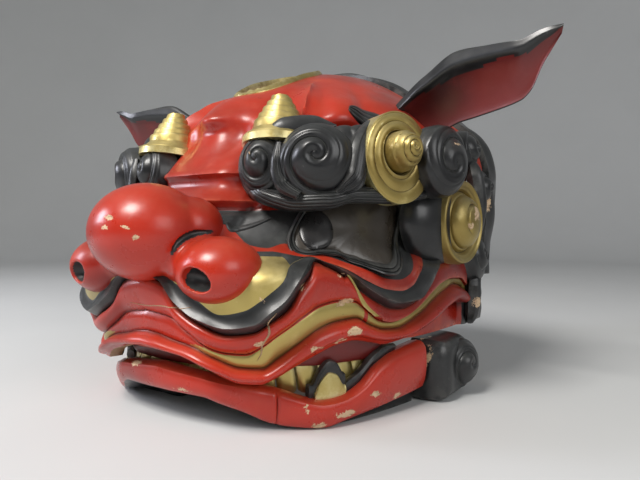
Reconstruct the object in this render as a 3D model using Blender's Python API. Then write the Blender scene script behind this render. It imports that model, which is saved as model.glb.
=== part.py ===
"""A carved and lacquered lion dance head: a hollow upper head and a lower jaw that claps on a hinge.

Sizes in the constants are millimetres; to_mesh turns them into Blender's metres. The face looks
along -Y, +X is the lion's left, and the jaw rests on the plane z = 0.
"""

import math

import bmesh
import bpy
import numpy as np
from mathutils import Vector

MM = 0.001
GAP = 0.3  # clearance between two pieces that meet

REAR_Y = 152.0  # plane of the open back
CHIN_Y = -118.0  # front of the lips
HALF_WIDTH = 158.0  # half the width of the muzzle at the back
WALL = 14.0  # thickness of the carved wood

EAR_POST = (120, 62, 229)  # where the ear's round post enters the head
EAR_POST_AXIS = (1, -0.05, 0.35)

JAW_AXIS = (78.0, 24.0)  # y and z of the hinge line
JAW_PIN_RADIUS = 5.0
CURL_RADIUS = 25.5  # round end of the jaw about its hinge
STATIONS = 13  # steps from the middle of the face to the back, on each side

# Plan of the near half of the muzzle, from the middle of the lips to the open back.
PLAN = [(0, -118), (45, -113), (80, -92), (110, -55), (135, -5), (150, 50), (156, 100), (158, 152)]

# Height, front y and half width of the outer skin, from the lips up to the crown.
LEVELS = [
    (46, -118, 158), (100, -118, 158), (125, -110, 160), (150, -92, 163), (183, -70, 165),
    (205, -56, 160), (219, -49, 153), (234, -32, 137), (251, -8, 112), (265, 15, 90),
    (280, 48, 67), (290, 80, 48), (297, 116, 26), (300, 152, 0),
]  # fmt: skip

# Heights of the carved creases, as (distance round the face from the middle, z).
LIP_EDGE = [(0, 54), (17, 54), (34, 50), (49, 46), (62, 40), (75, 35), (88, 34), (100, 39), (114, 48),
            (128, 56), (142, 61), (156, 61), (172, 55), (186, 52), (202, 53), (225, 52), (337, 52)]
ROLL_EDGE = [(0, 57), (34, 53), (62, 43), (75, 38), (88, 37), (100, 42), (114, 51), (142, 64), (156, 64),
             (172, 58), (186, 56), (202, 56), (220, 60), (240, 66), (262, 75), (285, 83), (337, 84)]
GOLD_LOW = [(0, 66), (10, 65), (23, 62), (43, 58), (59, 52), (75, 46), (89, 45), (100, 51), (113, 60),
            (127, 69), (142, 73), (160, 73), (174, 67), (186, 64), (202, 65), (220, 71), (240, 80),
            (256, 88), (274, 93), (295, 91), (337, 90)]
GOLD_HIGH = [(0, 79), (8, 78), (22, 76), (36, 68), (53, 59), (66, 55), (78, 54), (89, 59), (100, 68),
             (113, 77), (127, 84), (142, 86), (155, 84), (174, 74), (186, 70), (202, 70), (220, 76),
             (240, 85), (256, 93), (274, 98), (295, 96), (337, 95)]
BAND_LOW = [(0, 104), (20, 99), (33, 91), (55, 78), (68, 72), (84, 73), (97, 84), (107, 96), (118, 109),
            (127, 114), (149, 104), (171, 89), (196, 80), (219, 84), (239, 99), (260, 112), (300, 124), (337, 128)]
SOCKET_LOW = [(0, 125), (60, 125), (100, 124), (115, 120), (146, 113), (172, 103), (191, 100), (208, 106),
              (222, 120), (245, 134), (290, 142), (337, 145)]
SOCKET_TOP = [(0, 152), (107, 152), (135, 154), (200, 158), (337, 166)]

RED = ((0.55, 0.03, 0.02, 1), 0.35)
BLACK = ((0.02, 0.02, 0.022, 1), 0.4)
GOLD = ((0.62, 0.5, 0.2, 1), 0.35)
DARK = ((0.05, 0.035, 0.03, 1), 0.3)
WOOD = ((0.45, 0.32, 0.18, 1), 0.7)


# ---------------------------------------------------------------- curves and surfaces


def smooth(points, x):
    """Value at x of a monotone cubic through (x, value) points; the value may be a vector."""
    xs = np.array([p[0] for p in points], float)
    ys = np.array([p[1:] for p in points], float)
    step = np.diff(xs)[:, None]
    slope = np.diff(ys, axis=0) / step
    both = slope[:-1] * slope[1:]
    w0 = 2 * step[1:] + step[:-1]
    w1 = step[1:] + 2 * step[:-1]
    with np.errstate(divide="ignore", invalid="ignore"):
        inner = np.where(both > 0, (w0 + w1) / (w0 / slope[:-1] + w1 / slope[1:]), 0.0)
    tangent = np.vstack([slope[:1], inner, slope[-1:]])
    x = np.clip(np.atleast_1d(np.asarray(x, float)), xs[0], xs[-1])
    k = np.clip(np.searchsorted(xs, x, side="right") - 1, 0, len(xs) - 2)
    t = ((x - xs[k])[:, None]) / step[k]
    h = step[k]
    value = (
        (2 * t**3 - 3 * t**2 + 1) * ys[k]
        + (t**3 - 2 * t**2 + t) * h * tangent[k]
        + (3 * t**2 - 2 * t**3) * ys[k + 1]
        + (t**3 - t**2) * h * tangent[k + 1]
    )
    return value[:, 0] if ys.shape[1] == 1 else value


def ramp(low, high, x):
    """0 below low, 1 above high, smooth between."""
    t = np.clip((np.asarray(x, float) - low) / (high - low), 0, 1)
    return t * t * (3 - 2 * t)


def plan_by_length():
    """The plan with its mirrored first step, as (length from the middle, x, y)."""
    points = [(-PLAN[1][0], PLAN[1][1])] + PLAN
    lengths = np.cumsum([0.0] + [math.dist(a, b) for a, b in zip(points, points[1:])])
    lengths -= lengths[1]
    return [(s, *p) for s, p in zip(lengths, points)]


PLAN_CURVE = plan_by_length()
REACH = PLAN_CURVE[-1][0]  # length round the face from the middle to the open back


def skin(s, z, out=0.0, inset=0.0):
    """Points on the face's skin: s round from the middle (negative to the right), z up, out outwards."""
    s = np.atleast_1d(np.asarray(s, float))
    z = np.broadcast_to(np.asarray(z, float), s.shape)
    side = np.where(s < 0, -1.0, 1.0)
    xy = smooth(PLAN_CURVE, np.abs(s))
    ahead = smooth(PLAN_CURVE, np.minimum(np.abs(s) + 0.5, REACH))
    behind = smooth(PLAN_CURVE, np.abs(s) - 0.5)
    level = smooth(LEVELS, z)
    wide = np.maximum(level[:, 1] - inset, 0) / HALF_WIDTH
    deep = np.maximum(REAR_Y - level[:, 0] - inset, 0) / (REAR_Y - CHIN_Y)
    along = (ahead - behind) * np.stack([wide, deep], 1)
    length = np.maximum(np.linalg.norm(along, axis=1), 1e-9)
    outwards = np.stack([along[:, 1], -along[:, 0]], 1) / length[:, None]
    x = xy[:, 0] * wide + outwards[:, 0] * out
    y = REAR_Y - (REAR_Y - xy[:, 1]) * deep + outwards[:, 1] * out
    return np.stack([x * side, np.minimum(y, REAR_Y), z], 1)


def recess(s, z):
    """How far the skin sinks behind the brows, the eyes and the temples."""
    s = np.abs(s)
    face = ramp(25, 60, s) * (1 - ramp(285, 325, s))
    return -22 * face * ramp(104, 132, z) * (1 - 0.6 * ramp(200, 225, z)) * (1 - ramp(222, 245, z))


# ---------------------------------------------------------------- meshes


def material(name, look):
    made = bpy.data.materials.new(name)
    made.use_nodes = True
    shader = made.node_tree.nodes["Principled BSDF"]
    shader.inputs["Base Color"].default_value = look[0]
    shader.inputs["Roughness"].default_value = look[1]
    shader.inputs["Metallic"].default_value = 1.0 if look is GOLD else 0.0
    return made


def to_object(name, work, look, origin=(0, 0, 0)):
    """An object from a bmesh in millimetres, with its origin at a point in millimetres."""
    bmesh.ops.translate(work, verts=work.verts, vec=-Vector(origin))
    bmesh.ops.scale(work, verts=work.verts, vec=(MM, MM, MM))
    bmesh.ops.recalc_face_normals(work, faces=work.faces)
    mesh = bpy.data.meshes.new(name)
    work.to_mesh(mesh)
    work.free()
    mesh.shade_smooth()
    mesh.set_sharp_from_angle(angle=math.radians(40))
    mesh.materials.append(material(name, look))
    made = bpy.data.objects.new(name, mesh)
    made.location = Vector(origin) * MM
    bpy.context.scene.collection.objects.link(made)
    return made


def from_grid(work, grid, closed=False):
    """Adds triangles over a grid of points, alike on both sides; closed joins each row's end to its start."""
    rows = [[work.verts.new(p) for p in row] for row in grid]
    count = len(rows[0])
    for low, high in zip(rows, rows[1:]):
        for i in range(count if closed else count - 1):
            j = (i + 1) % count
            if i < count // 2:
                work.faces.new((low[i], low[j], high[j]))
                work.faces.new((low[i], high[j], high[i]))
            else:
                work.faces.new((low[i], low[j], high[i]))
                work.faces.new((low[j], high[j], high[i]))
    return rows


def sweep(sections):
    """A closed bmesh through a list of closed sections with the same number of points."""
    work = bmesh.new()
    rows = from_grid(work, sections, closed=True)
    work.faces.new(list(reversed(rows[0])))
    work.faces.new(rows[-1])
    bmesh.ops.remove_doubles(work, verts=work.verts, dist=0.01)
    return work


def ball(centre, radii, rings=9, sectors=16):
    work = bmesh.new()
    bmesh.ops.create_uvsphere(work, u_segments=sectors, v_segments=rings, radius=1)
    bmesh.ops.scale(work, verts=work.verts, vec=radii)
    bmesh.ops.translate(work, verts=work.verts, vec=centre)
    return work


def turned(profile, centre, axis, sectors=20):
    """A closed solid turned about an axis: profile is (radius, height along the axis) points."""
    frame = Vector(axis).normalized().to_track_quat("Z", "Y")
    work = bmesh.new()
    rows = []
    for radius, height in profile:
        ring = []
        for k in range(sectors):
            angle = 2 * math.pi * k / sectors
            point = Vector((radius * math.cos(angle), radius * math.sin(angle), height))
            ring.append(Vector(centre) + frame @ point)
        rows.append(ring)
    from_grid(work, rows, closed=True)
    work.verts.ensure_lookup_table()
    work.faces.new([work.verts[k] for k in reversed(range(sectors))])
    work.faces.new([work.verts[len(work.verts) - sectors + k] for k in range(sectors)])
    bmesh.ops.remove_doubles(work, verts=work.verts, dist=0.001)
    return work


def wall(s_values, low, high, outer, inner):
    """A closed band that follows the face between two heights and two distances from its skin."""
    s_values = np.asarray(s_values, float)
    corners = [
        skin(s_values, low, outer), skin(s_values, high, outer),
        skin(s_values, high, inner), skin(s_values, low, inner),
    ]  # fmt: skip
    return sweep([[corner[i] for corner in corners] for i in range(len(s_values))])


# ---------------------------------------------------------------- cutting one piece by another


def boolean(target, tool, operation):
    """Applies an exact Boolean and keeps the largest body that is left."""
    modifier = target.modifiers.new("cut", "BOOLEAN")
    modifier.operation = operation
    modifier.solver = "EXACT"
    modifier.object = tool
    graph = bpy.context.evaluated_depsgraph_get()
    mesh = bpy.data.meshes.new_from_object(target.evaluated_get(graph))
    target.modifiers.clear()
    old = target.data
    target.data = mesh
    bpy.data.meshes.remove(old)
    tidy_mesh(target)


def islands(work):
    left = set(work.verts)
    while left:
        stack = [left.pop()]
        found = set(stack)
        while stack:
            for edge in stack.pop().link_edges:
                for vert in edge.verts:
                    if vert in left:
                        left.discard(vert)
                        found.add(vert)
                        stack.append(vert)
        yield found


def tidy_mesh(target):
    work = bmesh.new()
    work.from_mesh(target.data)
    bmesh.ops.triangulate(work, faces=work.faces)
    bmesh.ops.dissolve_degenerate(work, edges=work.edges, dist=0.02 * MM)
    bodies = sorted(islands(work), key=len)
    spare = [vert for body in bodies[:-1] for vert in body]
    bmesh.ops.delete(work, geom=spare, context="VERTS")
    plainer = work.copy()
    bmesh.ops.dissolve_limit(plainer, angle_limit=math.radians(0.3), verts=plainer.verts, edges=plainer.edges)
    bmesh.ops.triangulate(plainer, faces=plainer.faces)
    closed = all(len(edge.link_faces) == 2 for edge in plainer.edges)
    (plainer if closed else work).to_mesh(target.data)
    plainer.free()
    work.free()


def grown(source):
    """A copy of a piece, larger by the gap on every side, for cutting its neighbours."""
    work = bmesh.new()
    work.from_mesh(source.data)
    bmesh.ops.triangulate(work, faces=work.faces)
    work.normal_update()
    moves = [(vert, vert.normal * GAP * 1.15 * MM) for vert in work.verts]
    for vert, move in moves:
        vert.co += move
    mesh = bpy.data.meshes.new(source.name + "_cutter")
    work.to_mesh(mesh)
    work.free()
    made = bpy.data.objects.new(mesh.name, mesh)
    made.location = source.location
    bpy.context.scene.collection.objects.link(made)
    made.hide_render = True
    made.display_type = "WIRE"
    return made


def drop(made):
    mesh = made.data
    bpy.data.objects.remove(made)
    bpy.data.meshes.remove(mesh)


def span(made):
    points = np.array([made.location + v.co for v in made.data.vertices])
    return points.min(0), points.max(0)


def meets(a, b):
    low_a, high_a = span(a)
    low_b, high_b = span(b)
    return bool((low_a < high_b).all() and (low_b < high_a).all())


def fit(piece, cutters):
    """Cuts a piece clear of the earlier pieces that it meets."""
    for tool in cutters:
        if meets(piece, tool):
            boolean(piece, tool, "DIFFERENCE")


# ---------------------------------------------------------------- the upper head


def skin_rows(s):
    """Rows of (z, out, height of the inner wall) up the face at the stations s."""
    at = np.abs(s)
    back = ramp(212, 228, at)
    rails = [
        (smooth(LIP_EDGE, at), -2 - 8 * back),
        (smooth(ROLL_EDGE, at), 1 + 0 * at),
        (smooth(GOLD_LOW, at), -1 + 0 * at),
        (smooth(GOLD_HIGH, at), -2 + 0 * at),
        (smooth(BAND_LOW, at), -1 + 0 * at),
        (smooth(SOCKET_LOW, at), 0 * at),
        (smooth(SOCKET_TOP, at), 0 * at),
    ]
    steps = [(1, 0), (2, 4), (1, 0), (3, 5), (2, 2), (2, 0)]
    rows = [rails[0]]
    for (low, high), (count, bulge) in zip(zip(rails, rails[1:]), steps):
        for k in range(1, count + 1):
            t = k / count
            rows.append((low[0] + (high[0] - low[0]) * t, low[1] + (high[1] - low[1]) * t + 4 * bulge * t * (1 - t)))
    rows = [(z, out + recess(at, z)) for z, out in rows]
    for z in (176, 192, 206, 219, 234, 250, 265, 279, 290, 297):
        rows.append((np.full(at.shape, float(z)), recess(at, z)))
    return rows


def head_grids(extra=0.0):
    """The outer and the inner skin of the upper head as grids of points with one shared outline."""
    s = np.linspace(-REACH, REACH, 2 * STATIONS + 1)
    rows = skin_rows(s)
    outer = [skin(s, z, out + extra) for z, out in rows]
    inner = []
    for z, out in rows:
        lowered = np.where(z > 200, 200 + (z - 200) * 0.86, z)
        points = skin(s, lowered, recess(np.abs(s), z), inset=WALL)
        inner.append(points)
    return outer, inner


def shell_mesh():
    outer, inner = head_grids()
    work = bmesh.new()
    out_rows = from_grid(work, outer)
    in_rows = from_grid(work, inner)
    out_pole = work.verts.new((0, REAR_Y, LEVELS[-1][0]))
    in_pole = work.verts.new((0, REAR_Y, LEVELS[-1][0] - WALL))
    for rows, pole in ((out_rows, out_pole), (in_rows, in_pole)):
        for a, b in zip(rows[-1], rows[-1][1:]):
            work.faces.new((a, b, pole))
    edge_out = [r[0] for r in reversed(out_rows)] + out_rows[0][1:-1] + [r[-1] for r in out_rows] + [out_pole]
    edge_in = [r[0] for r in reversed(in_rows)] + in_rows[0][1:-1] + [r[-1] for r in in_rows] + [in_pole]
    count = len(edge_out)
    for i in range(count):
        j = (i + 1) % count
        work.faces.new((edge_out[i], edge_out[j], edge_in[j], edge_in[i]))
    return work


def envelope():
    """The upper head as one solid block, a gap larger than its skin, which the applied pieces sit on."""
    outer, _ = head_grids(extra=GAP)
    middle = len(outer[0]) // 2
    work = bmesh.new()
    rows = from_grid(work, outer)
    pole = work.verts.new((0, REAR_Y, LEVELS[-1][0] + GAP))
    for a, b in zip(rows[-1], rows[-1][1:]):
        work.faces.new((a, b, pole))
    for k in range(middle):
        a, b, c, d = rows[0][k], rows[0][k + 1], rows[0][-k - 2], rows[0][-k - 1]
        work.faces.new((a, b, c, d) if b is not c else (a, b, d))
    for low, high in zip(rows, rows[1:]):
        work.faces.new((low[0], high[0], high[-1], low[-1]))
    work.faces.new((rows[-1][0], pole, rows[-1][-1]))
    made = to_object("head_envelope", work, RED)
    made.hide_render = True
    made.display_type = "WIRE"
    return made


def lug(side):
    """The block inside the head's wall that holds one end of the hinge."""
    y, z = JAW_AXIS
    x = 119 * side
    outline = [(-16, -14), (16, -14), (16, 42), (-16, 42)]
    return sweep([[(x + dx, y + a, z + b) for a, b in outline] for dx in (-6, 6)])


def lug_foot(side):
    """Joins the hinge block to the wall above it."""
    y, z = JAW_AXIS
    outline = [(y - 16, z + 34), (y + 16, z + 34), (y + 16, z + 60), (y - 16, z + 60)]
    return sweep([[(x * side, a, b) for a, b in outline] for x in (113.5, 146)])


def upper_head():
    head = to_object("head_shell", shell_mesh(), RED)
    for side in (-1, 1):
        for form in (lug_foot(side), lug(side)):
            tool = to_object("lug", form, RED)
            boolean(head, tool, "UNION")
            drop(tool)
        y, z = JAW_AXIS
        for form in (
            turned([(JAW_PIN_RADIUS + GAP, -10), (JAW_PIN_RADIUS + GAP, 10)], (119 * side, y, z), (1, 0, 0), 16),
            turned([(9 + GAP, -30), (9 + GAP, 30)], (side * EAR_POST[0], *EAR_POST[1:]), (side, *EAR_POST_AXIS[1:]), 12),
        ):
            tool = to_object("drill", form, RED)
            boolean(head, tool, "DIFFERENCE")
            drop(tool)
    return head


# ---------------------------------------------------------------- pieces of the face


def mirror_image(left):
    """The right-hand piece that mirrors a finished left-hand one."""
    work = bmesh.new()
    work.from_mesh(left.data)
    bmesh.ops.scale(work, verts=work.verts, vec=(-1, 1, 1))
    bmesh.ops.reverse_faces(work, faces=work.faces)
    name = left.name.replace("_left", "_right")
    mesh = bpy.data.meshes.new(name)
    work.to_mesh(mesh)
    work.free()
    for look in left.data.materials:
        mesh.materials.append(look)
    made = bpy.data.objects.new(name, mesh)
    made.location = Vector((-left.location.x, left.location.y, left.location.z))
    made.hide_render = left.hide_render
    made.display_type = left.display_type
    bpy.context.scene.collection.objects.link(made)
    return made


def nose():
    made = to_object("nose", ball((0, -114, 128), (39, 38, 38), 12, 20), RED)
    for side in (-1, 1):
        wing = to_object("wing", ball((56 * side, -101, 108), (25, 26, 24), 10, 16), RED)
        boolean(made, wing, "UNION")
        drop(wing)
        centre = (50 * side, -124, 101)
        bore = to_object("bore", turned([(0.1, 16), (6, 14), (8, 4), (9, -16)], centre, (0.1 * side, 1, 0.25), 12), RED)
        boolean(made, bore, "DIFFERENCE")
        drop(bore)
    return made


def alar_disc():
    return turned([(22, -22), (33, -4), (33.5, 2), (28, 7)], (66, -91, 102), (0.55, -0.83, -0.1), 20)


def cheek_band():
    """The black band that runs under the nostril and the gold disc and on below the eye."""
    s = np.linspace(6, 262, 19)
    low = smooth(BAND_LOW, s)
    thick = smooth([(0, 6), (60, 13), (90, 16), (128, 10), (170, 14), (215, 16), (262, 8)], s)
    return wall(s, low + 1, low + thick, recess(s, low) + 5.5, recess(s, low) - 6)


def brow():
    path = [(0, 42, -44, 181, 14, 20), (1, 58, -42, 182, 19, 26), (2, 84, -38, 182, 19, 28), (3, 108, -28, 183, 19, 28),
            (4, 128, -6, 184, 19, 29), (5, 144, 24, 185, 19, 28), (6, 154, 50, 186, 17, 25), (7, 158, 66, 187, 11, 17)]
    sections = []
    for u in np.linspace(0, 7, 13):
        x, y, z, deep, tall = smooth(path, u)[0]
        ahead, behind = smooth(path, min(u + 0.2, 7))[0], smooth(path, max(u - 0.2, 0))[0]
        along = Vector((ahead[0] - behind[0], ahead[1] - behind[1], 0)).normalized()
        outwards = Vector((along.y, -along.x, 0))
        ring = []
        for k in range(12):
            angle = 2 * math.pi * k / 12
            ring.append(Vector((x, y, z)) + outwards * deep * math.cos(angle) + Vector((0, 0, tall * math.sin(angle))))
        sections.append(ring)
    return sweep(sections)


def spiral_boss(centre, axis, radius, height):
    """A low stepped cone, the outer form of a carved spiral."""
    profile = [(radius, -14), (radius, 0), (radius * 0.92, height * 0.3), (radius * 0.6, height * 0.55),
               (radius * 0.5, height * 0.85), (radius * 0.15, height)]  # fmt: skip
    return turned(profile, centre, axis, 14)


SNAILS = {
    "inner": ((56, -60, 182), (0.25, -0.95, 0), 21, 11),
    "middle": ((96, -52, 182), (0.45, -0.88, 0), 24, 13),
    "outer": ((159, 46, 187), (0.95, -0.2, 0), 20, 10),
}


def brow_cone():
    profile = [(23, -14), (23, 0), (21, 4), (18, 6), (17, 13), (13, 16), (12, 24), (8, 27), (7, 33), (1, 37)]
    return turned(profile, (51, -44, 203), (-0.05, 0.28, 1), 18)


def brow_fan():
    return turned([(30, -8), (31, 0), (31, 5), (27, 9), (13, 10), (11, 17), (7, 18), (6, 25), (1, 29)],
                  (135, 2, 187), (0.9, -0.43, 0.05), 20)  # fmt: skip


def eye():
    return ball((92, -24, 134), (38, 40, 27), 10, 18)


def temple_pad():
    """The long rounded pad between the eye and the back, which carries the gilt boss."""
    return ball((138, 50, 142), (22, 62, 38), 10, 20)


def temple_boss():
    profile = [(30, -3), (32, 0), (32, 3), (27, 6), (22, 7), (20, 12), (13, 17), (4, 19)]
    return turned(profile, (160, 70, 142), (1, -0.15, 0), 22)


HAIR_CURLS = {"upper": ((153, 112, 208), 19), "middle": ((161, 126, 176), 15), "lower": ((158, 122, 112), 21)}


def hair_curl(centre, radius):
    return turned([(radius, -14), (radius, 2), (radius * 0.8, 8), (radius * 0.35, 11)], centre, (1, 0.1, 0.05), 16)


def rear_band():
    """The black arch along the edge of the open back, where the mane is tied on."""
    half = [(300, 0), (299, 14), (297, 25), (290, 47), (280, 67), (265, 90), (251, 112), (234, 137), (219, 153),
            (205, 160), (183, 165), (150, 163), (125, 160), (96, 158)]  # fmt: skip
    arch = [(x, z) for z, x in reversed(half)] + [(-x, z) for z, x in half[1:]]
    sections = []
    for i, (x, z) in enumerate(arch):
        a, b = arch[max(i - 1, 0)], arch[min(i + 1, len(arch) - 1)]
        along = Vector((b[0] - a[0], 0, b[1] - a[1])).normalized()
        out = Vector((along.z, 0, -along.x))
        point = Vector((x, 0, z))
        ring = []
        for y, rise in ((-22, -10), (-18, 3.5), (-5, 6), (-0.5, 4), (-0.5, -10)):
            ring.append(point + out * rise + Vector((0, REAR_Y + y, 0)))
        sections.append(ring)
    return sweep(sections)


EAR_PATH = [
    (0, 104, 64, 222, 15, 9), (1, 136, 60, 238, 20, 8), (2, 164, 56, 250, 20, 6.5), (3, 190, 50, 251, 19, 5),
    (4, 212, 44, 250, 17, 4.5), (5, 229, 41, 263, 11, 4), (6, 242, 39, 274, 3, 2.5),
]  # fmt: skip


def ear():
    """A long pointed leaf with a hollow underside, on a round post that enters the head."""
    sections = []
    for u in np.linspace(0, 6, 13):
        x, y, z, half, thick = smooth(EAR_PATH, u)[0]
        broad = Vector((0, -0.35, 0.94)) if u < 5 else Vector((0.25, -0.3, 0.9)).normalized()
        face = Vector((0.1, -0.94, -0.35)).normalized()
        outline = [(-1, 0), (-0.6, -0.2), (0, 0.1), (0.6, -0.2), (1, 0), (0.7, -1), (0, -1.15), (-0.7, -1)]
        sections.append([Vector((x, y, z)) + broad * half * a + face * thick * b for a, b in outline])
    return sweep(sections)


def ear_with_post(block):
    made = to_object("ear_left", ear(), BLACK)
    boolean(made, block, "DIFFERENCE")
    tool = to_object("post", turned([(9, -22), (9, 12)], EAR_POST, EAR_POST_AXIS, 12), BLACK)
    boolean(made, tool, "UNION")
    drop(tool)
    return made


# ---------------------------------------------------------------- the mouth


def upper_gum():
    s = np.linspace(-196, 196, 31)
    return wall(s, 41, 60, 2 - WALL, -WALL - 8)


def upper_teeth():
    s = np.linspace(-192, 192, 31)
    low = 21 + 8 * ramp(150, 190, np.abs(s))
    return wall(s, low, 41 - GAP, -WALL - 2, -WALL - 9)


JAW_TOP = [(0, 41), (50, 36), (100, 27), (134, 19), (147, 20), (162, 26), (178, 38), (197, 45), (228, 49)]
JAW_BASE = [(0, 24), (40, 23), (70, 16), (95, 6), (110, 3), (134, 1), (151, 4), (178, 8), (228, 14)]
JAW_UNDER = [(0, 38), (50, 34), (100, 22), (134, 9), (180, 12), (228, 14)]
FANG_TOP = [(127, 22), (133, 33), (139, 38), (145, 36), (151, 28), (158, 33), (168, 41), (190, 44)]


def jaw_sections(s):
    top = smooth(JAW_TOP, abs(s))[0]
    base = smooth(JAW_BASE, abs(s))[0]
    under = smooth(JAW_UNDER, abs(s))[0]
    thick = 15 + 2 * ramp(180, 228, abs(s))
    corners = [(top, -4), (top * 0.55 + base * 0.45, -0.5), (base, -4), (0, -under), (0, -under - 12),
               (min(6, top), -under - 16 if abs(s) < 140 else -thick), (top - 1.5, -thick)]  # fmt: skip
    return [skin([s], z, out)[0] for z, out in corners]


def jaw():
    s_values = np.linspace(-228, 228, 45)
    made = to_object("jaw", sweep([jaw_sections(s) for s in s_values]), RED, (0, *JAW_AXIS))
    front = [skin([s], 8, -38)[0][:2] for s in np.linspace(0, 150, 8)]
    outline = [(x, y) for x, y in front] + [(-x, y) for x, y in reversed(front[1:])]
    floor = to_object("floor", sweep([[(x, y, z) for x, y in outline] for z in (1.5, 9)]), RED)
    boolean(made, floor, "UNION")
    drop(floor)
    return made


def jaw_curl():
    """The rounded rear end of the jaw, which turns about the hinge."""
    y, z = JAW_AXIS
    front = 37.5
    outline = [(front, 0.2), (front, z + CURL_RADIUS)]
    for k in range(9):
        angle = math.pi / 2 - math.pi * k / 8
        outline.append((y + CURL_RADIUS * math.cos(angle), z + CURL_RADIUS * math.sin(angle)))
    outline = [(a, max(b, 0.0)) for a, b in outline]
    sections = []
    for x, shrink in ((128, 0.97), (132, 1), (152, 1), (157, 0.93), (160, 0.8)):
        sections.append([(x, y + (a - y) * shrink, z + (b - z) * shrink) for a, b in outline])
    return sweep(sections)


def bored_jaw_curl():
    made = to_object("jaw_curl_left", jaw_curl(), BLACK, (140, *JAW_AXIS))
    bore = turned([(JAW_PIN_RADIUS + GAP, -20), (JAW_PIN_RADIUS + GAP, 18)], (130, *JAW_AXIS), (1, 0, 0), 16)
    tool = to_object("drill", bore, BLACK)
    boolean(made, tool, "DIFFERENCE")
    drop(tool)
    return made


def jaw_pin():
    return turned([(JAW_PIN_RADIUS, -16), (JAW_PIN_RADIUS, 17)], (130, *JAW_AXIS), (1, 0, 0), 16)


def fang():
    s = np.linspace(128, 152, 7)
    return wall(s, smooth(JAW_TOP, s) + GAP, smooth(FANG_TOP, s), -7, -11.5)


def jaw_gum():
    """The black arch of the gum over the fang and back along the jaw."""
    s = np.linspace(124, 200, 16)
    base = np.maximum(smooth(JAW_TOP, s) + GAP, np.where(s < 152.5, smooth(FANG_TOP, s) + GAP, 0))
    return wall(s, base, np.minimum(base + 7, 50.5 + 0 * s), -8, -11.5)


def build():
    for old in list(bpy.data.objects):
        bpy.data.objects.remove(old)
    head = upper_head()
    block = envelope()
    cutters = []

    def add(piece, on_head=True, both_sides=True):
        cutter = grown(piece)
        bpy.context.view_layer.update()
        fit(piece, ([block] if on_head else []) + cutters)
        cutters.append(cutter)
        if both_sides:
            mirror_image(piece)
            cutters.append(mirror_image(cutter))

    add(nose(), both_sides=False)
    add(to_object("brow_fan_left", brow_fan(), GOLD))
    add(to_object("brow_cone_left", brow_cone(), GOLD))
    for name, form in SNAILS.items():
        add(to_object("brow_snail_" + name + "_left", spiral_boss(*form), BLACK))
    add(to_object("brow_left", brow(), BLACK))
    add(to_object("temple_boss_left", temple_boss(), GOLD))
    add(to_object("temple_pad_left", temple_pad(), BLACK))
    add(to_object("eye_left", eye(), DARK))
    add(to_object("alar_disc_left", alar_disc(), GOLD))
    add(to_object("cheek_band_left", cheek_band(), BLACK))
    for name, form in HAIR_CURLS.items():
        add(to_object("hair_curl_" + name + "_left", hair_curl(*form), BLACK))
    add(to_object("rear_band", rear_band(), BLACK), both_sides=False)
    add(ear_with_post(block), on_head=False)
    cutters.append(grown(head))
    add(to_object("upper_teeth", upper_teeth(), GOLD), on_head=False, both_sides=False)
    add(to_object("upper_gum", upper_gum(), RED), on_head=False, both_sides=False)
    add(to_object("jaw_pin_left", jaw_pin(), WOOD), on_head=False)
    add(jaw(), on_head=False, both_sides=False)
    add(bored_jaw_curl(), on_head=False)
    add(to_object("fang_left", fang(), GOLD), on_head=False)
    add(to_object("jaw_gum_left", jaw_gum(), BLACK), on_head=False)
    for tool in [block, *cutters]:
        drop(tool)


build()
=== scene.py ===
"""The looks of the lion dance head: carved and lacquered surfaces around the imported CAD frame.

Sizes are millimetres in the CAD's own frame, and put() turns them into Blender's metres; the set, the
lights and the camera are in metres. The face looks along -Y, +X is the lion's left, and the jaw rests
on z = 0.
"""

import math

import bmesh
import bpy
import numpy as np
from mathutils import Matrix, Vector
from mathutils.bvhtree import BVHTree


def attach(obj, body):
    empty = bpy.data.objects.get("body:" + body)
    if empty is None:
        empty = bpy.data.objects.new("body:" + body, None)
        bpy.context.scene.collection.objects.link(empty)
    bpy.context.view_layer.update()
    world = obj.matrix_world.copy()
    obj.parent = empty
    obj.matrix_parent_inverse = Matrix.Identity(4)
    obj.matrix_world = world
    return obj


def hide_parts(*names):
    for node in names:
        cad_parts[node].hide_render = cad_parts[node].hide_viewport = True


MM = 0.001
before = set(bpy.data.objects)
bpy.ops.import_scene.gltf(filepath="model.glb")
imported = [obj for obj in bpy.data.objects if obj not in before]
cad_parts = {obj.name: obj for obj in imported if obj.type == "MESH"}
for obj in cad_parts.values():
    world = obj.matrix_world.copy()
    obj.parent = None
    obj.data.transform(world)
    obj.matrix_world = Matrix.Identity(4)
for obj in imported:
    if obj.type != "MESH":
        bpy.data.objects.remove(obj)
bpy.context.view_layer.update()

# ---------------------------------------------------------------- the carving's form, as in the CAD

REAR_Y = 152.0
CHIN_Y = -118.0
HALF_WIDTH = 158.0
WALL = 14.0
JAW_AXIS = (78.0, 24.0)  # y, z

# The plan's left half as (x, y), and the profile as (z, y of the front, half width).

PLAN = [
    (0, -118), (45, -113), (80, -92), (110, -55), (135, -5), (150, 50), (156, 100), (158, 152),
]
LEVELS = [
    (46, -118, 158), (100, -118, 158), (125, -110, 160), (150, -92, 163), (183, -70, 165),
    (205, -56, 160), (219, -49, 153), (234, -32, 137), (251, -8, 112), (265, 15, 90), (280, 48, 67),
    (290, 80, 48), (297, 116, 26), (300, 152, 0),
]

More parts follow.
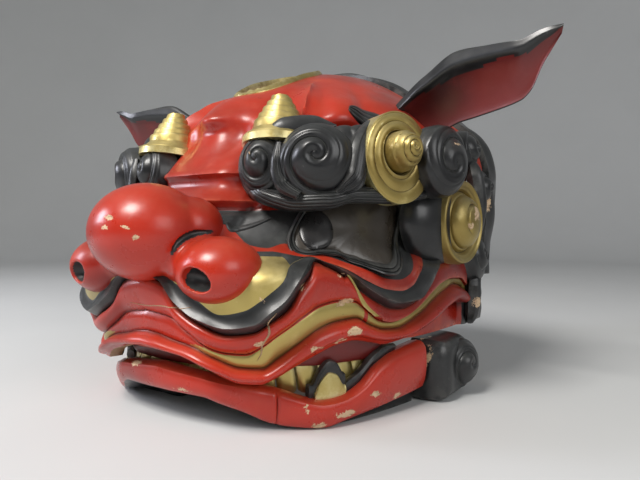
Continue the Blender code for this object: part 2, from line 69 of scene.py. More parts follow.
# Carved lines on the face, each as (distance round from the middle, z).
LIP_EDGE = [
    (0, 54), (17, 54), (34, 50), (49, 46), (62, 40), (75, 35), (88, 34), (100, 38), (114, 45), (128, 51),
    (142, 56), (156, 58), (172, 55), (186, 52), (202, 53), (225, 52), (337, 52),
]
ROLL_EDGE = [
    (0, 57), (34, 53), (62, 43), (75, 38), (88, 37), (100, 41), (114, 49), (142, 60), (156, 62),
    (172, 58), (186, 56), (202, 56), (220, 60), (240, 66), (259, 73), (278, 76), (292, 73), (337, 70),
]
GOLD_LOW = [
    (0, 66), (10, 65), (23, 62), (43, 58), (59, 52), (75, 46), (89, 45), (100, 51), (113, 60), (127, 69),
    (142, 73), (157, 74), (170, 68), (182, 64), (197, 63), (210, 66), (226, 72), (243, 80), (259, 86),
    (276, 90), (291, 87), (300, 82), (337, 80),
]
GOLD_HIGH = [
    (0, 79), (8, 78), (22, 76), (36, 68), (53, 59), (66, 55), (78, 54), (89, 59), (100, 68), (113, 77),
    (127, 84), (142, 86), (155, 85), (167, 77), (177, 70), (189, 68), (202, 70), (217, 76), (233, 85),
    (248, 92), (265, 95), (284, 94), (300, 86), (337, 82),
]
TAIL_LOW = [(146, 106), (151, 101), (157, 90), (163, 80), (167, 77), (172, 74)]
TAIL_HIGH = [(146, 106), (151, 103), (158, 93), (165, 83), (172, 77), (180, 71)]
BAND_LOW = [
    (0, 104), (20, 99), (32, 84), (51, 74), (68, 68), (84, 70), (94, 77), (105, 86), (111, 96),
    (118, 105), (123, 114), (130, 111), (137, 108), (149, 101), (162, 92), (175, 84), (190, 78),
    (201, 77), (213, 80), (225, 89), (239, 100), (250, 110), (262, 121), (337, 128),
]
BAND_MID = [
    (0, 107), (20, 103), (32, 90), (51, 79), (68, 74), (84, 77), (92, 84), (101, 92), (107, 101),
    (113, 110), (121, 116), (132, 113), (150, 104), (163, 95), (181, 86), (197, 83), (214, 84),
    (227, 94), (236, 105), (262, 124), (337, 129),
]
GOLD_PLATE_LOW = [
    (0, 109), (20, 106), (36, 98), (50, 90), (64, 82), (78, 85), (86, 90), (93, 96), (100, 103),
    (104, 112), (110, 115), (120, 117.5), (131, 114), (146, 109), (164, 100), (182, 93), (198, 91),
    (209, 94), (219, 105), (228, 116), (240, 124), (262, 126), (337, 130),
]
GOLD_PLATE_TOP = [(0, 110), (20, 109), (50, 112), (78, 118), (100, 117.5), (104, 114)]
BAND_TOP = [
    (0, 112), (40, 114), (60, 118), (81, 121), (91, 121), (105, 119), (115, 117.5), (120, 117.5),
]
STRIP_HIGH = [
    (0, 140), (40, 140), (56, 134), (64, 130), (74, 125), (88, 123), (102, 126), (111, 122), (117, 120),
    (132, 118), (148, 113), (166, 107), (185, 100), (197, 99), (207, 102), (215, 112), (221, 124),
    (235, 128), (262, 128), (337, 131),
]
# The top of the black band: real black lacquer in front, raised further round to the brows as painted shade.
SHADE_TOP = [
    (0, 149), (84, 150), (92, 160), (104, 192), (232, 192), (262, 168), (337, 158),
]


def smooth(points, x):
    """Value at x of a monotone cubic through (x, value) points; the value may be a vector."""
    xs = np.array([p[0] for p in points], float)
    ys = np.array([p[1:] for p in points], float)
    step = np.diff(xs)[:, None]
    slope = np.diff(ys, axis=0) / step
    both = slope[:-1] * slope[1:]
    w0 = 2 * step[1:] + step[:-1]
    w1 = step[1:] + 2 * step[:-1]
    with np.errstate(divide="ignore", invalid="ignore"):
        inner = np.where(both > 0, (w0 + w1) / (w0 / slope[:-1] + w1 / slope[1:]), 0.0)
    tangent = np.vstack([slope[:1], inner, slope[-1:]])
    x = np.clip(np.atleast_1d(np.asarray(x, float)), xs[0], xs[-1])
    k = np.clip(np.searchsorted(xs, x, side="right") - 1, 0, len(xs) - 2)
    t = ((x - xs[k])[:, None]) / step[k]
    h = step[k]
    value = (
        (2 * t**3 - 3 * t**2 + 1) * ys[k]
        + (t**3 - 2 * t**2 + t) * h * tangent[k]
        + (3 * t**2 - 2 * t**3) * ys[k + 1]
        + (t**3 - t**2) * h * tangent[k + 1]
    )
    return value[:, 0] if ys.shape[1] == 1 else value


def ramp(low, high, x):
    """0 below low, 1 above high, smooth between."""
    t = np.clip((np.asarray(x, float) - low) / (high - low), 0, 1)
    return t * t * (3 - 2 * t)


def hump(x, middle, width):
    """1 at the middle, falling away on both sides."""
    return np.exp(-(((np.asarray(x, float) - middle) / width) ** 2))


def plan_by_length():
    """The plan with its mirrored first step, as (length from the middle, x, y)."""
    points = [(-PLAN[1][0], PLAN[1][1])] + PLAN
    lengths = np.cumsum([0.0] + [math.dist(a, b) for a, b in zip(points, points[1:])])
    lengths -= lengths[1]
    return [(s, *p) for s, p in zip(lengths, points)]


PLAN_CURVE = plan_by_length()
REACH = PLAN_CURVE[-1][0]


def skin(s, z, out=0.0, inset=0.0):
    """Points on the face's skin: s round from the middle (negative to the right), z up, out outwards."""
    s, z, out = (np.ravel(a) for a in np.broadcast_arrays(*(np.asarray(v, float) for v in (s, z, out))))
    side = np.where(s < 0, -1.0, 1.0)
    xy = smooth(PLAN_CURVE, np.abs(s))
    ahead = smooth(PLAN_CURVE, np.minimum(np.abs(s) + 0.5, REACH))
    behind = smooth(PLAN_CURVE, np.abs(s) - 0.5)
    level = smooth(LEVELS, z)
    wide = np.maximum(level[:, 1] - inset, 0) / HALF_WIDTH
    deep = np.maximum(REAR_Y - level[:, 0] - inset, 0) / (REAR_Y - CHIN_Y)
    along = (ahead - behind) * np.stack([wide, deep], 1)
    length = np.maximum(np.linalg.norm(along, axis=1), 1e-9)
    outwards = np.stack([along[:, 1], -along[:, 0]], 1) / length[:, None]
    x = xy[:, 0] * wide + outwards[:, 0] * out
    y = REAR_Y - (REAR_Y - xy[:, 1]) * deep + outwards[:, 1] * out
    return np.stack([x * side, np.minimum(y, REAR_Y), z], 1)


def recess(s, z):
    """How far the skin sinks behind the brows, the eyes and the temples."""
    s = np.abs(s)
    face = ramp(25, 60, s) * (1 - ramp(285, 325, s))
    return -22 * face * ramp(104, 132, z) * (1 - 0.6 * ramp(200, 225, z)) * (1 - ramp(222, 245, z))


def swell(s, z):
    """How far the muzzle swells round the nostrils."""
    s = np.abs(s)
    return 13 * hump(s, 94, 32) * ramp(50, 84, z) * (1 - ramp(104, 128, z))


# ---------------------------------------------------------------- meshes

HOLLOW = []  # filled by head_skin(): the tree of the shell's inner face
HOLLOW_MIDDLE = Vector((0, 90, 120))
INSIDE = ("gum", "teeth", "rear_band", "head_skin")  # pieces that may reach into the hollow
WALL_SEARCH = 60
WALL_GRIP = 4  # how far from the hollow a piece's back stays
MERGED, FLAT = 0.02 * MM, 0.01 * MM  # points nearer than this are one; thinner faces go
SLOT_OF = {"shaded_red_lacquer": "red_lacquer", "pupil_lacquer": "eye_lacquer"}  # looks that share a slot
# Chips down to the wood, as (middle, reach along each axis).
CHIPS = [
    ((104, -62, 58), (9, 13, 5)), ((112, -47, 61), (9, 13, 5)), ((123, -40, 66), (7, 10, 5)),
    ((118, -41, 87), (5, 9, 3)), ((115, -48, 85), (4, 6, 3)), ((117, -50, 105), (4, 4, 4)),
    ((106, -79, 98), (5, 4, 3)), ((6, -149, 143), (7, 4, 3)), ((5, -150, 137), (5, 4, 3)),
    ((19, -146, 137), (6, 4, 2.5)), ((25, -143, 131), (5, 4, 3)), ((58, -76, 191), (4, 6, 5)),
    ((168, 27, 197), (8, 9, 6)), ((159, 17, 198), (9, 8, 7)), ((176, 66, 149), (5, 8, 8)),
    ((172, 59, 138), (4, 6, 7)), ((168, 127, 159), (6, 7, 12)), ((166, 128, 115), (6, 8, 9)),
    ((165, 106, 72), (5, 7, 8)), ((117, -43, 9), (8, 13, 4)), ((105, -59, 3), (7, 10, 4)),
    ((129, -20, 19), (5, 8, 3)), ((135, 1, 13), (5, 8, 4)), ((140, 40, 49), (8, 6, 4)),
    ((162, 72, 37), (7, 8, 5)), ((166, 78, 24), (5, 6, 5)), ((145, 38, 36), (4, 5, 16)),
    ((25, -107, 26), (12, 6, 3)), ((-24, -104, 38), (10, 6, 3)), ((93, -104, 92), (5, 5, 4)),
    ((86, -97, 63), (4, 6, 4)), ((101, -67, 16), (4, 5, 10)), ((60, -60, 236), (5, 5, 4)),
]


def grid_faces(rows, cols, wrap=False, first=0):
    """Quads over a grid of points numbered row by row."""
    i, j = np.meshgrid(np.arange(rows - 1), np.arange(cols if wrap else cols - 1), indexing="ij")
    k = (j + 1) % cols
    quads = np.stack([i * cols + j, i * cols + k, (i + 1) * cols + k, (i + 1) * cols + j], -1)
    return (quads.reshape(-1, 4) + first).tolist()


def chip_values(points):
    """1 at the middle of a chip, falling to 0 at its rim."""
    value = np.zeros(len(points))
    for centre, reach in CHIPS:
        away = np.linalg.norm((points - np.array(centre)) / np.array(reach), axis=1)
        value = np.maximum(value, 1 - away)
    return np.clip(value, 0, 1)


def kept_out(places):
    """Points that would come through the shell's wall, moved back into it."""
    for k, place in enumerate(places):
        near, normal = HOLLOW[0].find_nearest(Vector(place), WALL_SEARCH)[:2]
        if near is None:
            continue
        if normal.dot(HOLLOW_MIDDLE - near) < 0:
            normal = -normal
        if (Vector(place) - near).dot(normal) > -WALL_GRIP:
            places[k] = near - normal * WALL_GRIP
    return places


def put(name, points, faces, looks, body="head", look_of=None, sharp=38, stands_for=()):
    """Makes one visible piece from points in millimetres and rides it on a CAD body."""
    points = np.asarray(points, float)
    mesh = bpy.data.meshes.new(name)
    mesh.from_pydata((points * MM).tolist(), [], faces)
    for look in looks:
        mesh.materials.append(look)
    if look_of is not None:
        mesh.polygons.foreach_set("material_index", np.asarray(look_of, np.int32))
    mesh.update()
    return finish_piece(name, mesh, body, sharp, stands_for)


def finish_piece(name, mesh, body, sharp, stands_for):
    """Cleans the mesh, keeps it out of the hollow, marks its chips and rides it on a CAD body."""
    work = bmesh.new()
    work.from_mesh(mesh)
    bmesh.ops.remove_doubles(work, verts=work.verts, dist=MERGED)
    bmesh.ops.dissolve_degenerate(work, edges=work.edges, dist=FLAT)
    bmesh.ops.recalc_face_normals(work, faces=work.faces)
    work.to_mesh(mesh)
    work.free()
    places = np.empty(len(mesh.vertices) * 3)
    mesh.vertices.foreach_get("co", places)
    if body == "head" and not name.startswith(INSIDE):
        places = (kept_out(places.reshape(-1, 3) / MM) * MM).ravel()
        mesh.vertices.foreach_set("co", places)
        mesh.update()
    chips = mesh.attributes.new("chip", "FLOAT", "POINT")
    chips.data.foreach_set("value", chip_values(places.reshape(-1, 3) / MM).astype(np.float32))
    mesh.shade_smooth()
    mesh.set_sharp_from_angle(angle=math.radians(sharp))
    piece = bpy.data.objects.new(name, mesh)
    bpy.context.scene.collection.objects.link(piece)
    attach(piece, body)
    look = mesh.materials[0].name.split(".")[0]
    SLOT_OF.get(look, look)
    if stands_for:
        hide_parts(*stands_for)
    return piece


def both_sides(name, points, faces, looks, stands_for=(), **settings):
    """A left piece and its mirror image."""
    for side, end in ((1, "left"), (-1, "right")):
        mirrored = np.asarray(points, float) * (side, 1, 1)
        stands = [node.replace("SIDE", end) for node in stands_for]
        put(f"{name}_{end}", mirrored, faces, looks, stands_for=stands, **settings)


def axes(axis, up=(0, 0, 1)):
    """A 3 by 3 matrix whose columns are across, up and the axis."""
    w = Vector(axis).normalized()
    u = Vector(up).cross(w).normalized()
    return np.array([u, w.cross(u), w]).T


def polar(centre, axis, height, radius, rings=40, sectors=96, skirt=8, lean=(0, 0), squash=1.0):
    """A mound about an axis: height(t, angle) is its top, with t 0 in the middle and 1 at its radius."""
    t = np.linspace(0, 1, rings + 1)[1:]
    angle = np.linspace(0, 2 * math.pi, sectors, endpoint=False)
    tt, aa = np.meshgrid(t, angle, indexing="ij")
    rim = (radius(aa) if callable(radius) else radius) * tt
    up = height(tt, aa)
    shift = (1 - tt**1.5)[..., None] * np.array(lean)
    wide = rim * np.cos(aa) + shift[..., 0]
    tall = rim * np.sin(aa) * squash + shift[..., 1]
    flat = np.stack([wide, tall, up], -1)
    skirt_ring = flat[-1].copy()
    skirt_ring[:, 2] = -skirt
    rows = np.concatenate([flat, skirt_ring[None]])
    middle = np.array([*lean, height(np.zeros((1, 1)), np.zeros((1, 1)))[0, 0]])
    local = np.vstack([rows.reshape(-1, 3), middle])
    points = np.array(centre) + local @ axes(axis).T
    faces = grid_faces(rings + 1, sectors, wrap=True)
    last = len(local) - 1
    faces += [[(j + 1) % sectors, j, last] for j in range(sectors)]
    faces.append([rings * sectors + j for j in range(sectors)])
    return points, faces


def sweep(sections):
    """Points and faces of a closed tube through sections with the same number of points."""
    sections = np.asarray(sections, float)
    rows, cols = sections.shape[:2]
    faces = grid_faces(rows, cols, wrap=True)
    faces.append(list(range(cols)))
    faces.append([(rows - 1) * cols + j for j in reversed(range(cols))])
    return sections.reshape(-1, 3), faces


def along_path(path, count, ring):
    """Sections along a smooth path of (u, x, y, z, ...) points: ring(values, direction, t) gives each."""
    last = path[-1][0]
    sections = []
    for u in np.linspace(0, last, count):
        here = smooth(path, u)[0]
        ahead, behind = smooth(path, min(u + 0.02, last))[0], smooth(path, max(u - 0.02, 0))[0]
        along = Vector(ahead[:3] - behind[:3]).normalized()
        sections.append(ring(here, along, u / last))
    return sections


# ---------------------------------------------------------------- materials


class Nodes:
    """Short calls for building one material's node tree."""

    def __init__(self, name):
        self.made = bpy.data.materials.new(name)
        self.made.use_nodes = True
        self.tree = self.made.node_tree
        self.shader = self.tree.nodes["Principled BSDF"]
        self.place = self.add("ShaderNodeTexCoord").outputs["Object"]

    def add(self, kind, inputs=None, **settings):
        node = self.tree.nodes.new(kind)
        for key, value in settings.items():
            setattr(node, key, value)
        for key, value in (inputs or {}).items():
            if isinstance(value, bpy.types.NodeSocket):
                self.tree.links.new(value, node.inputs[key])
            else:
                node.inputs[key].default_value = value
        return node

    def noise(self, scale, detail=4, rough=0.6, stretch=None, distortion=0.0):
        place = self.place
        if stretch:
            place = self.add("ShaderNodeMapping", {"Vector": place, "Scale": stretch}).outputs["Vector"]
        inputs = {"Vector": place, "Scale": scale, "Detail": detail, "Roughness": rough}
        return self.add("ShaderNodeTexNoise", {**inputs, "Distortion": distortion}).outputs["Fac"]

    def fade(self, value, low, high, to_low=0.0, to_high=1.0):
        inputs = {"Value": value, "From Min": low, "From Max": high, "To Min": to_low, "To Max": to_high}
        return self.add("ShaderNodeMapRange", inputs, interpolation_type="SMOOTHSTEP").outputs["Result"]

    def math(self, operation, a, b=0.0, clamp=False):
        return self.add("ShaderNodeMath", {0: a, 1: b}, operation=operation, use_clamp=clamp).outputs[0]

    def mix(self, amount, a, b):
        node = self.add("ShaderNodeMix", {"Factor": amount}, data_type="RGBA")
        for key, value in (("A", a), ("B", b)):
            socket = next(s for s in node.inputs if s.name == key and s.type == "RGBA")
            if isinstance(value, bpy.types.NodeSocket):
                self.tree.links.new(value, socket)
            else:
                socket.default_value = (*value, 1)
        return next(s for s in node.outputs if s.type == "RGBA")

    def bump(self, height, strength, distance, normal=None):
        inputs = {"Height": height, "Strength": strength, "Distance": distance}
        if normal:
            inputs["Normal"] = normal
        return self.add("ShaderNodeBump", inputs).outputs["Normal"]

    def done(self, **inputs):
        for key, value in inputs.items():
            socket = self.shader.inputs[key.replace("_", " ")]
            if isinstance(value, bpy.types.NodeSocket):
                self.tree.links.new(value, socket)
            else:
                socket.default_value = value
        return self.made


WOOD_PALE = (0.70, 0.50, 0.31)
WOOD_BROWN = (0.23, 0.12, 0.05)


def lacquer(name, deep, main, faded, dust, gloss, dusty, chips, metal=0.0, edge=None, fade_at=0.55,
            crevice_shade_and_dust=None):
    """Old hand-rubbed lacquer: patchy colour, crevices darkened as painted shade (grey dust on the black),
    dust on top, worn edges, chips down to the wood.
    """
    n = Nodes(name)
    geometry = n.add("ShaderNodeNewGeometry")
    normal_z = n.add("ShaderNodeSeparateXYZ", {"Vector": geometry.outputs["Normal"]}).outputs["Z"]
    point = geometry.outputs["Pointiness"]
    broad = n.noise(9, 3, 0.55)
    cloudy = n.noise(38, 5, 0.62)
    fine = n.noise(260, 4, 0.7)
    grime = n.noise(90, 6, 0.72)
    colour = n.mix(n.fade(broad, 0.3, 0.62), deep, main)
    colour = n.mix(n.math("MULTIPLY", n.fade(cloudy, fade_at, 0.8), 0.7), colour, faded)
    # Concave places take the crevice colour: by default a darkened deep tone, which is painted shade; the
    # black passes a grey dust colour instead.
    colour = n.mix(n.fade(point, 0.495, 0.44, 0, 0.75), colour, crevice_shade_and_dust or tuple(c * 0.25 for c in deep))
    if edge:
        colour = n.mix(n.math("MULTIPLY", n.fade(point, 0.52, 0.60), n.fade(grime, 0.35, 0.6)), colour, edge)
    settled = n.math("MULTIPLY", n.fade(normal_z, -0.1, 0.95), n.fade(grime, 0.25, 0.75, 0.35, 1.0))
    colour = n.mix(n.math("MULTIPLY", settled, dusty), colour, dust)
    speck = n.fade(fine, 0.66, 0.74)
    colour = n.mix(n.math("MULTIPLY", speck, 0.35), colour, dust)
    pit = n.fade(n.noise(150, 3, 0.6), 0.27, 0.22)
    colour = n.mix(n.math("MULTIPLY", pit, 0.6), colour, tuple(c * 0.2 for c in deep))
    chip = n.add("ShaderNodeAttribute", attribute_name="chip").outputs["Fac"]
    ragged = n.math("MULTIPLY", n.math("SUBTRACT", n.noise(230, 6, 0.75), 0.5), 2.2)
    ragged = n.math("ADD", chip, ragged)
    worn = n.math("MULTIPLY", n.math("SUBTRACT", n.noise(45, 7, 0.8), 0.66), 4.0)
    worn = n.math("ADD", n.fade(point, 0.56, 0.66), worn)
    chipped = n.math("MULTIPLY", n.fade(ragged, 0.40, 0.45), n.fade(chip, 0.02, 0.12))
    rubbed = n.math("MULTIPLY", n.fade(worn, 0.72, 0.8), chips)
    lost = n.math("MAXIMUM", chipped, rubbed, clamp=True)
    wood = n.mix(n.fade(n.noise(120, 6, 0.7, stretch=(1, 1, 3)), 0.3, 0.5), WOOD_BROWN, WOOD_PALE)
    colour = n.mix(lost, colour, wood)
    rough = n.fade(cloudy, 0.3, 0.8, gloss, gloss + 0.22)
    rough = n.math("ADD", rough, n.math("MULTIPLY", settled, 0.22 * dusty))
    rough = n.math("ADD", rough, n.math("MULTIPLY", lost, 0.45), clamp=True)
    height = n.math("SUBTRACT", n.noise(24, 3, 0.5), n.math("MULTIPLY", lost, 0.25))
    normal = n.bump(height, 0.5, 0.0012)
    normal = n.bump(fine, 0.12, 0.0003, normal)
    metallic = n.math("MULTIPLY", n.math("SUBTRACT", 1.0, lost), metal) if metal else 0.0
    return n.done(Base_Color=colour, Roughness=rough, Metallic=metallic, Normal=normal, Coat_Weight=0.25,
                  Coat_Roughness=0.22)


RED = lacquer("red_lacquer", (0.20, 0.006, 0.003), (0.50, 0.022, 0.006), (0.54, 0.06, 0.02),
              (0.46, 0.13, 0.07), 0.24, dusty=0.26, chips=0.45, edge=(0.60, 0.10, 0.05))
# A darker copy of the red lacquer, painted shade for the recessed upper gum and the ear's hollow; it maps to
# the red lacquer's slot.
SHADED_RED = lacquer("shaded_red_lacquer", (0.05, 0.003, 0.002), (0.15, 0.008, 0.006), (0.22, 0.02, 0.015),
                   (0.3, 0.1, 0.08), 0.4, dusty=0.2, chips=0.1)
BLACK = lacquer("black_lacquer", (0.005, 0.005, 0.006), (0.010, 0.011, 0.012), (0.032, 0.034, 0.036),
                (0.13, 0.135, 0.13), 0.28, dusty=0.36, chips=0.45, edge=(0.09, 0.09, 0.085), fade_at=0.5,
                crevice_shade_and_dust=(0.085, 0.088, 0.082))
GOLD = lacquer("gold_leaf", (0.26, 0.18, 0.045), (0.54, 0.42, 0.13), (0.74, 0.61, 0.25), (0.76, 0.67, 0.36),
               0.30, dusty=0.45, chips=0.5, metal=0.75, edge=(0.78, 0.7, 0.36))
EYE_LOOK = lacquer("eye_lacquer", (0.022, 0.017, 0.012), (0.045, 0.036, 0.027), (0.07, 0.06, 0.048),
                   (0.16, 0.145, 0.12), 0.22, dusty=0.25, chips=0.0)
PUPIL = lacquer("pupil_lacquer", (0.006, 0.005, 0.005), (0.012, 0.011, 0.011), (0.03, 0.028, 0.026),
                (0.1, 0.1, 0.1), 0.18, dusty=0.2, chips=0.0)


def bare_wood(name):
    """Plain wood with its grain along z."""
    n = Nodes(name)
    grain = n.noise(30, 6, 0.65, stretch=(0.12, 0.12, 1), distortion=0.6)
    pores = n.noise(420, 3, 0.7)
    colour = n.mix(n.fade(grain, 0.3, 0.7), WOOD_BROWN, WOOD_PALE)
    colour = n.mix(n.fade(pores, 0.6, 0.75, 0, 0.5), colour, tuple(c * 0.4 for c in WOOD_BROWN))
    rough = n.fade(grain, 0.2, 0.8, 0.6, 0.85)
    return n.done(Base_Color=colour, Roughness=rough, Normal=n.bump(pores, 0.3, 0.0004))


WOOD = bare_wood("plain_wood")
LOOKS = [RED, BLACK, GOLD, WOOD]
R, K, G, W = range(4)  # their places in LOOKS

# ---------------------------------------------------------------- the upper head


def face_rails(at):
    """The carved lines from the lips to the top of the black band under the brows, partly painted shade, at
    the stations, as rows of (z, out).
    """
    lip, roll = smooth(LIP_EDGE, at), smooth(ROLL_EDGE, at)
    gold_low, gold_high = smooth(GOLD_LOW, at), smooth(GOLD_HIGH, at)
    band_low = smooth(BAND_LOW, at)
    band_mid = np.maximum(smooth(BAND_MID, at), band_low + 0.3)
    plate_low = np.maximum(smooth(GOLD_PLATE_LOW, at), band_mid + 0.3)
    before = at < 146
    after = at > 178
    tail_low = np.where(before, band_low - 0.02, np.where(after, gold_high + 0.01, smooth(TAIL_LOW, at)))
    tail_high = np.where(before, band_low - 0.01, np.where(after, gold_high + 0.02, smooth(TAIL_HIGH, at)))
    plate_top = np.where(at < 104, np.maximum(smooth(GOLD_PLATE_TOP, at), plate_low), plate_low)
    band_top = np.where(at < 120, np.maximum(smooth(BAND_TOP, at), plate_top), plate_top)
    strip = np.maximum(smooth(STRIP_HIGH, at), band_top + 0.2)
    shade = np.maximum(smooth(SHADE_TOP, at), strip + 2)
    plate = ramp(198, 215, at)
    alar = 1 - ramp(108, 128, at)
    fore = 1 - ramp(30, 60, at)
    rails = [
        (lip, -5 - 4 * plate),
        (np.maximum(roll - 0.8, lip), -2 - 7.5 * plate),
        (roll, 0.8 + 0 * at),
        (gold_low - 0.8, -2.5 - 1.0 * fore),
        (gold_low, -3.2 - 1.0 * fore),
        (gold_high, -1.2 - 2.0 * fore),
        (gold_high + 1.0, -2.0 - 1.8 * fore),
        (tail_low, 0.6 + 0 * at),
        (tail_high, 0.9 + 0 * at),
        (band_low, -1.8 + 0 * at),
        (band_low + 0.3, -0.8 + 0 * at),
        (band_mid, 6.6 - 0.8 * (1 - alar)),
        (plate_low, 2.2 - 0.7 * (1 - alar)),
        (plate_top, 1.0 + 0 * at),
        (band_top, 3.4 - 1.4 * (1 - alar)),
        (strip, 0.2 + 0 * at),
        (shade, -1.0 + 0 * at),
    ]
    z = np.array([r[0] for r in rails])
    return np.maximum.accumulate(z, axis=0), np.array([r[1] for r in rails])


# Between each two rails: rows, how far the band swells at its middle, and its look. The last, black band is
# real black lacquer in front and painted shade where it rises under the brows.
BANDS = [
    (4, 0.5, R), (2, 0, R), (9, 5.2, R), (1, 0, R), (6, 1.6, G), (2, 0, R), (10, 4.6, R), (2, 0.5, G),
    (6, 1.2, R), (1, 0, K), (5, 0.8, K), (5, -1.2, K), (5, 1.2, G), (3, 0.8, K), (3, 1.4, R),
    (8, -0.5, K),
]


# The bridge's steps over the nose as (z, out), and the crown leaf's half width as (y, x).
BRIDGE = [
    (146, 0), (148.5, -5), (151, -4), (156.5, 3.5), (159, -1), (167, -6.5), (174, -3), (178, 3),
    (182, 1), (196, 0), (300, 0),
]
ORNAMENT = [
    (-17, 0), (-13, 9), (-4, 17), (10, 23), (28, 28), (50, 29), (74, 21), (92, 8), (98, 0),
]
ORNAMENT_DEPTH = 3.2


def carve(at, z):
    """The carved forms above the eyes, outwards from the plain skin: bridge, forehead lobes, facets."""
    front = 1 - ramp(52, 78, at)
    bridge = smooth(BRIDGE, z.ravel()).reshape(z.shape)
    lobe = 12 * hump(at, 0, 14 + 0.6 * np.clip(z - 216, 0, 40)) * ramp(211, 224, z) * (1 - ramp(240, 264, z))
    valley = -9 * hump(at, 26, 11) * hump(z, 208, 16) - 11 * hump(at, 58, 17) * hump(z, 236, 17)
    ridge = 9.5 * np.exp(-np.abs(at - 81 - (z - 240) * 0.1) / 6.0)
    ridge = ridge * ramp(208, 226, z) * (1 - ramp(252, 268, z))
    cheek = 8 * hump(at, 118, 22) * hump(z, 230, 13)
    dip = -5 * hump(at, 148, 13) * hump(z, 238, 20) - 3 * hump(at, 100, 7) * hump(z, 238, 14)
    return bridge * front + lobe + valley + ridge + cheek + dip


FACE_TOP = 200  # the rows below it follow the carved lines, those above it the profile's length
TOP_Z = 299.5
HAIR_FROM, HAIR_FULL = 296, 306  # round the face, where the black hair begins


def outer_skin(s):
    """The carved outer face: its points row by row from the lip up, and the look of each row."""
    at = np.abs(s)
    z, out = face_rails(at)
    hair = ramp(HAIR_FROM, HAIR_FULL, at)
    rows, looks = [(z[0], out[0] * (1 - hair) - 4 * hair)], []
    for k, (count, swelling, look) in enumerate(BANDS):
        tall = z[k + 1] - z[k]
        bulge = swelling * np.minimum(1, tall / 9.0)
        for i in range(1, count + 1):
            t = i / count
            round_up = (1 - (2 * t - 1) ** 2) ** 0.75 if swelling > 0 else 4 * t * (1 - t)
            here = z[k] + tall * t
            forward = out[k] + (out[k + 1] - out[k]) * t + bulge * round_up
            strands = -4 + 1.3 * np.abs(np.sin(here / 4.5 + at / 11.0)) ** 0.7
            rows.append((here, forward * (1 - hair) + strands * hair))
            looks.append(look)
    top = z[-1]
    for i in range(1, 23):
        rows.append((top + (FACE_TOP - top) * i / 22, -1.0 * (1 - i / 22) + 0 * at))
        looks.append(R)
    fine = np.linspace(FACE_TOP, TOP_Z, 600)
    front = smooth([(a, b) for a, b, _ in LEVELS], fine)
    length = np.concatenate([[0], np.cumsum(np.hypot(np.diff(fine), np.diff(front)))])
    for height in np.interp(np.linspace(0, length[-1], 91)[1:], length, fine):
        rows.append((height + 0 * at, 0 * at))
        looks.append(R)
    zz = np.array([r[0] for r in rows])
    oo = np.array([r[1] for r in rows])
    ss = np.broadcast_to(s, zz.shape)
    aa = np.abs(ss)
    oo = oo + recess(aa, zz) + carve(aa, zz) + swell(aa, zz)
    points = skin(ss, zz, oo)
    x, y = np.abs(points[:, 0]), points[:, 1]
    inside = (smooth(ORNAMENT, y) - x) * (points[:, 2] > 238) * (y > ORNAMENT[0][0]) * (y < ORNAMENT[-1][0])
    points[:, 2] -= ORNAMENT_DEPTH * ramp(0, 3, inside)
    return points.reshape(*zz.shape, 3), looks


def head_skin():
    """The carved shell: the outer face, the plain inside and the open back, as one closed body."""
    cols = 441
    s = np.linspace(-REACH, REACH, cols)
    at = np.abs(s)
    outer, row_looks = outer_skin(s)
    rows = len(outer)
    inner_z = [smooth(LIP_EDGE, at)]
    for t in np.linspace(0.08, 1, 12):
        inner_z.append(inner_z[0] + (176 - inner_z[0]) * t)
    inner_z += [np.full(cols, v) for v in np.linspace(186, TOP_Z - 0.1, 16)]
    inner_z = np.array(inner_z)
    lowered = np.where(inner_z > FACE_TOP, FACE_TOP + (inner_z - FACE_TOP) * 0.86, inner_z)
    aa = np.broadcast_to(at, inner_z.shape)
    inner = skin(np.broadcast_to(s, inner_z.shape), lowered, recess(aa, inner_z), inset=WALL)
    inner = inner.reshape(*inner_z.shape, 3)
    count = rows * cols
    points = np.vstack([outer.reshape(-1, 3), inner.reshape(-1, 3)])
    faces = grid_faces(rows, cols)
    looks = np.repeat(row_looks, cols - 1).reshape(rows - 1, cols - 1)
    middle = np.abs((s[:-1] + s[1:]) / 2)
    first_gold = sum(band[0] for band in BANDS[:4])
    for r in range(first_gold, first_gold + BANDS[4][0]):
        bare = (middle <= 40 + 2.5 * abs(r - first_gold - 1)) | ((middle >= 163) & (middle <= 166))
        looks[r, bare] = R
    looks[: sum(band[0] for band in BANDS), middle > 302] = K
    faces += [face[::-1] for face in grid_faces(len(inner), cols, first=count)]
    faces += [[j, count + j, count + j + 1, j + 1] for j in range(cols - 1)]
    left = [r * cols + cols - 1 for r in range(rows)]
    right = [r * cols for r in range(rows)]
    in_left = [count + r * cols + cols - 1 for r in range(len(inner))]
    in_right = [count + r * cols for r in range(len(inner))]
    faces.append(left + right[::-1] + in_right + in_left[::-1])
    faces.append([(rows - 1) * cols + j for j in range(cols)])
    faces.append([count + (len(inner) - 1) * cols + j for j in reversed(range(cols))])
    looks = np.concatenate([looks.ravel(), np.full(len(faces) - looks.size, W)])
    HOLLOW.append(BVHTree.FromPolygons(inner.reshape(-1, 3).tolist(), grid_faces(len(inner), cols)))
    pairs = [f"{node}_{end}" for node in ("cheek_band", "alar_disc") for end in ("left", "right")]
    return put("head_skin", points, faces, LOOKS, look_of=looks, sharp=50, stands_for=("head_shell", *pairs))


def tree_of(mesh):
    """A search tree of a mesh, in millimetres."""
    return BVHTree.FromPolygons([v.co / MM for v in mesh.vertices], [p.vertices for p in mesh.polygons])


def drop_on(tree, x, y, rise):
    """The point above (x, y) that lies rise over the head."""
    hit = tree.ray_cast(Vector((x, y, 400)), Vector((0, 0, -1)))[0]
    return np.array([x, y, (hit.z if hit else 280) + rise])


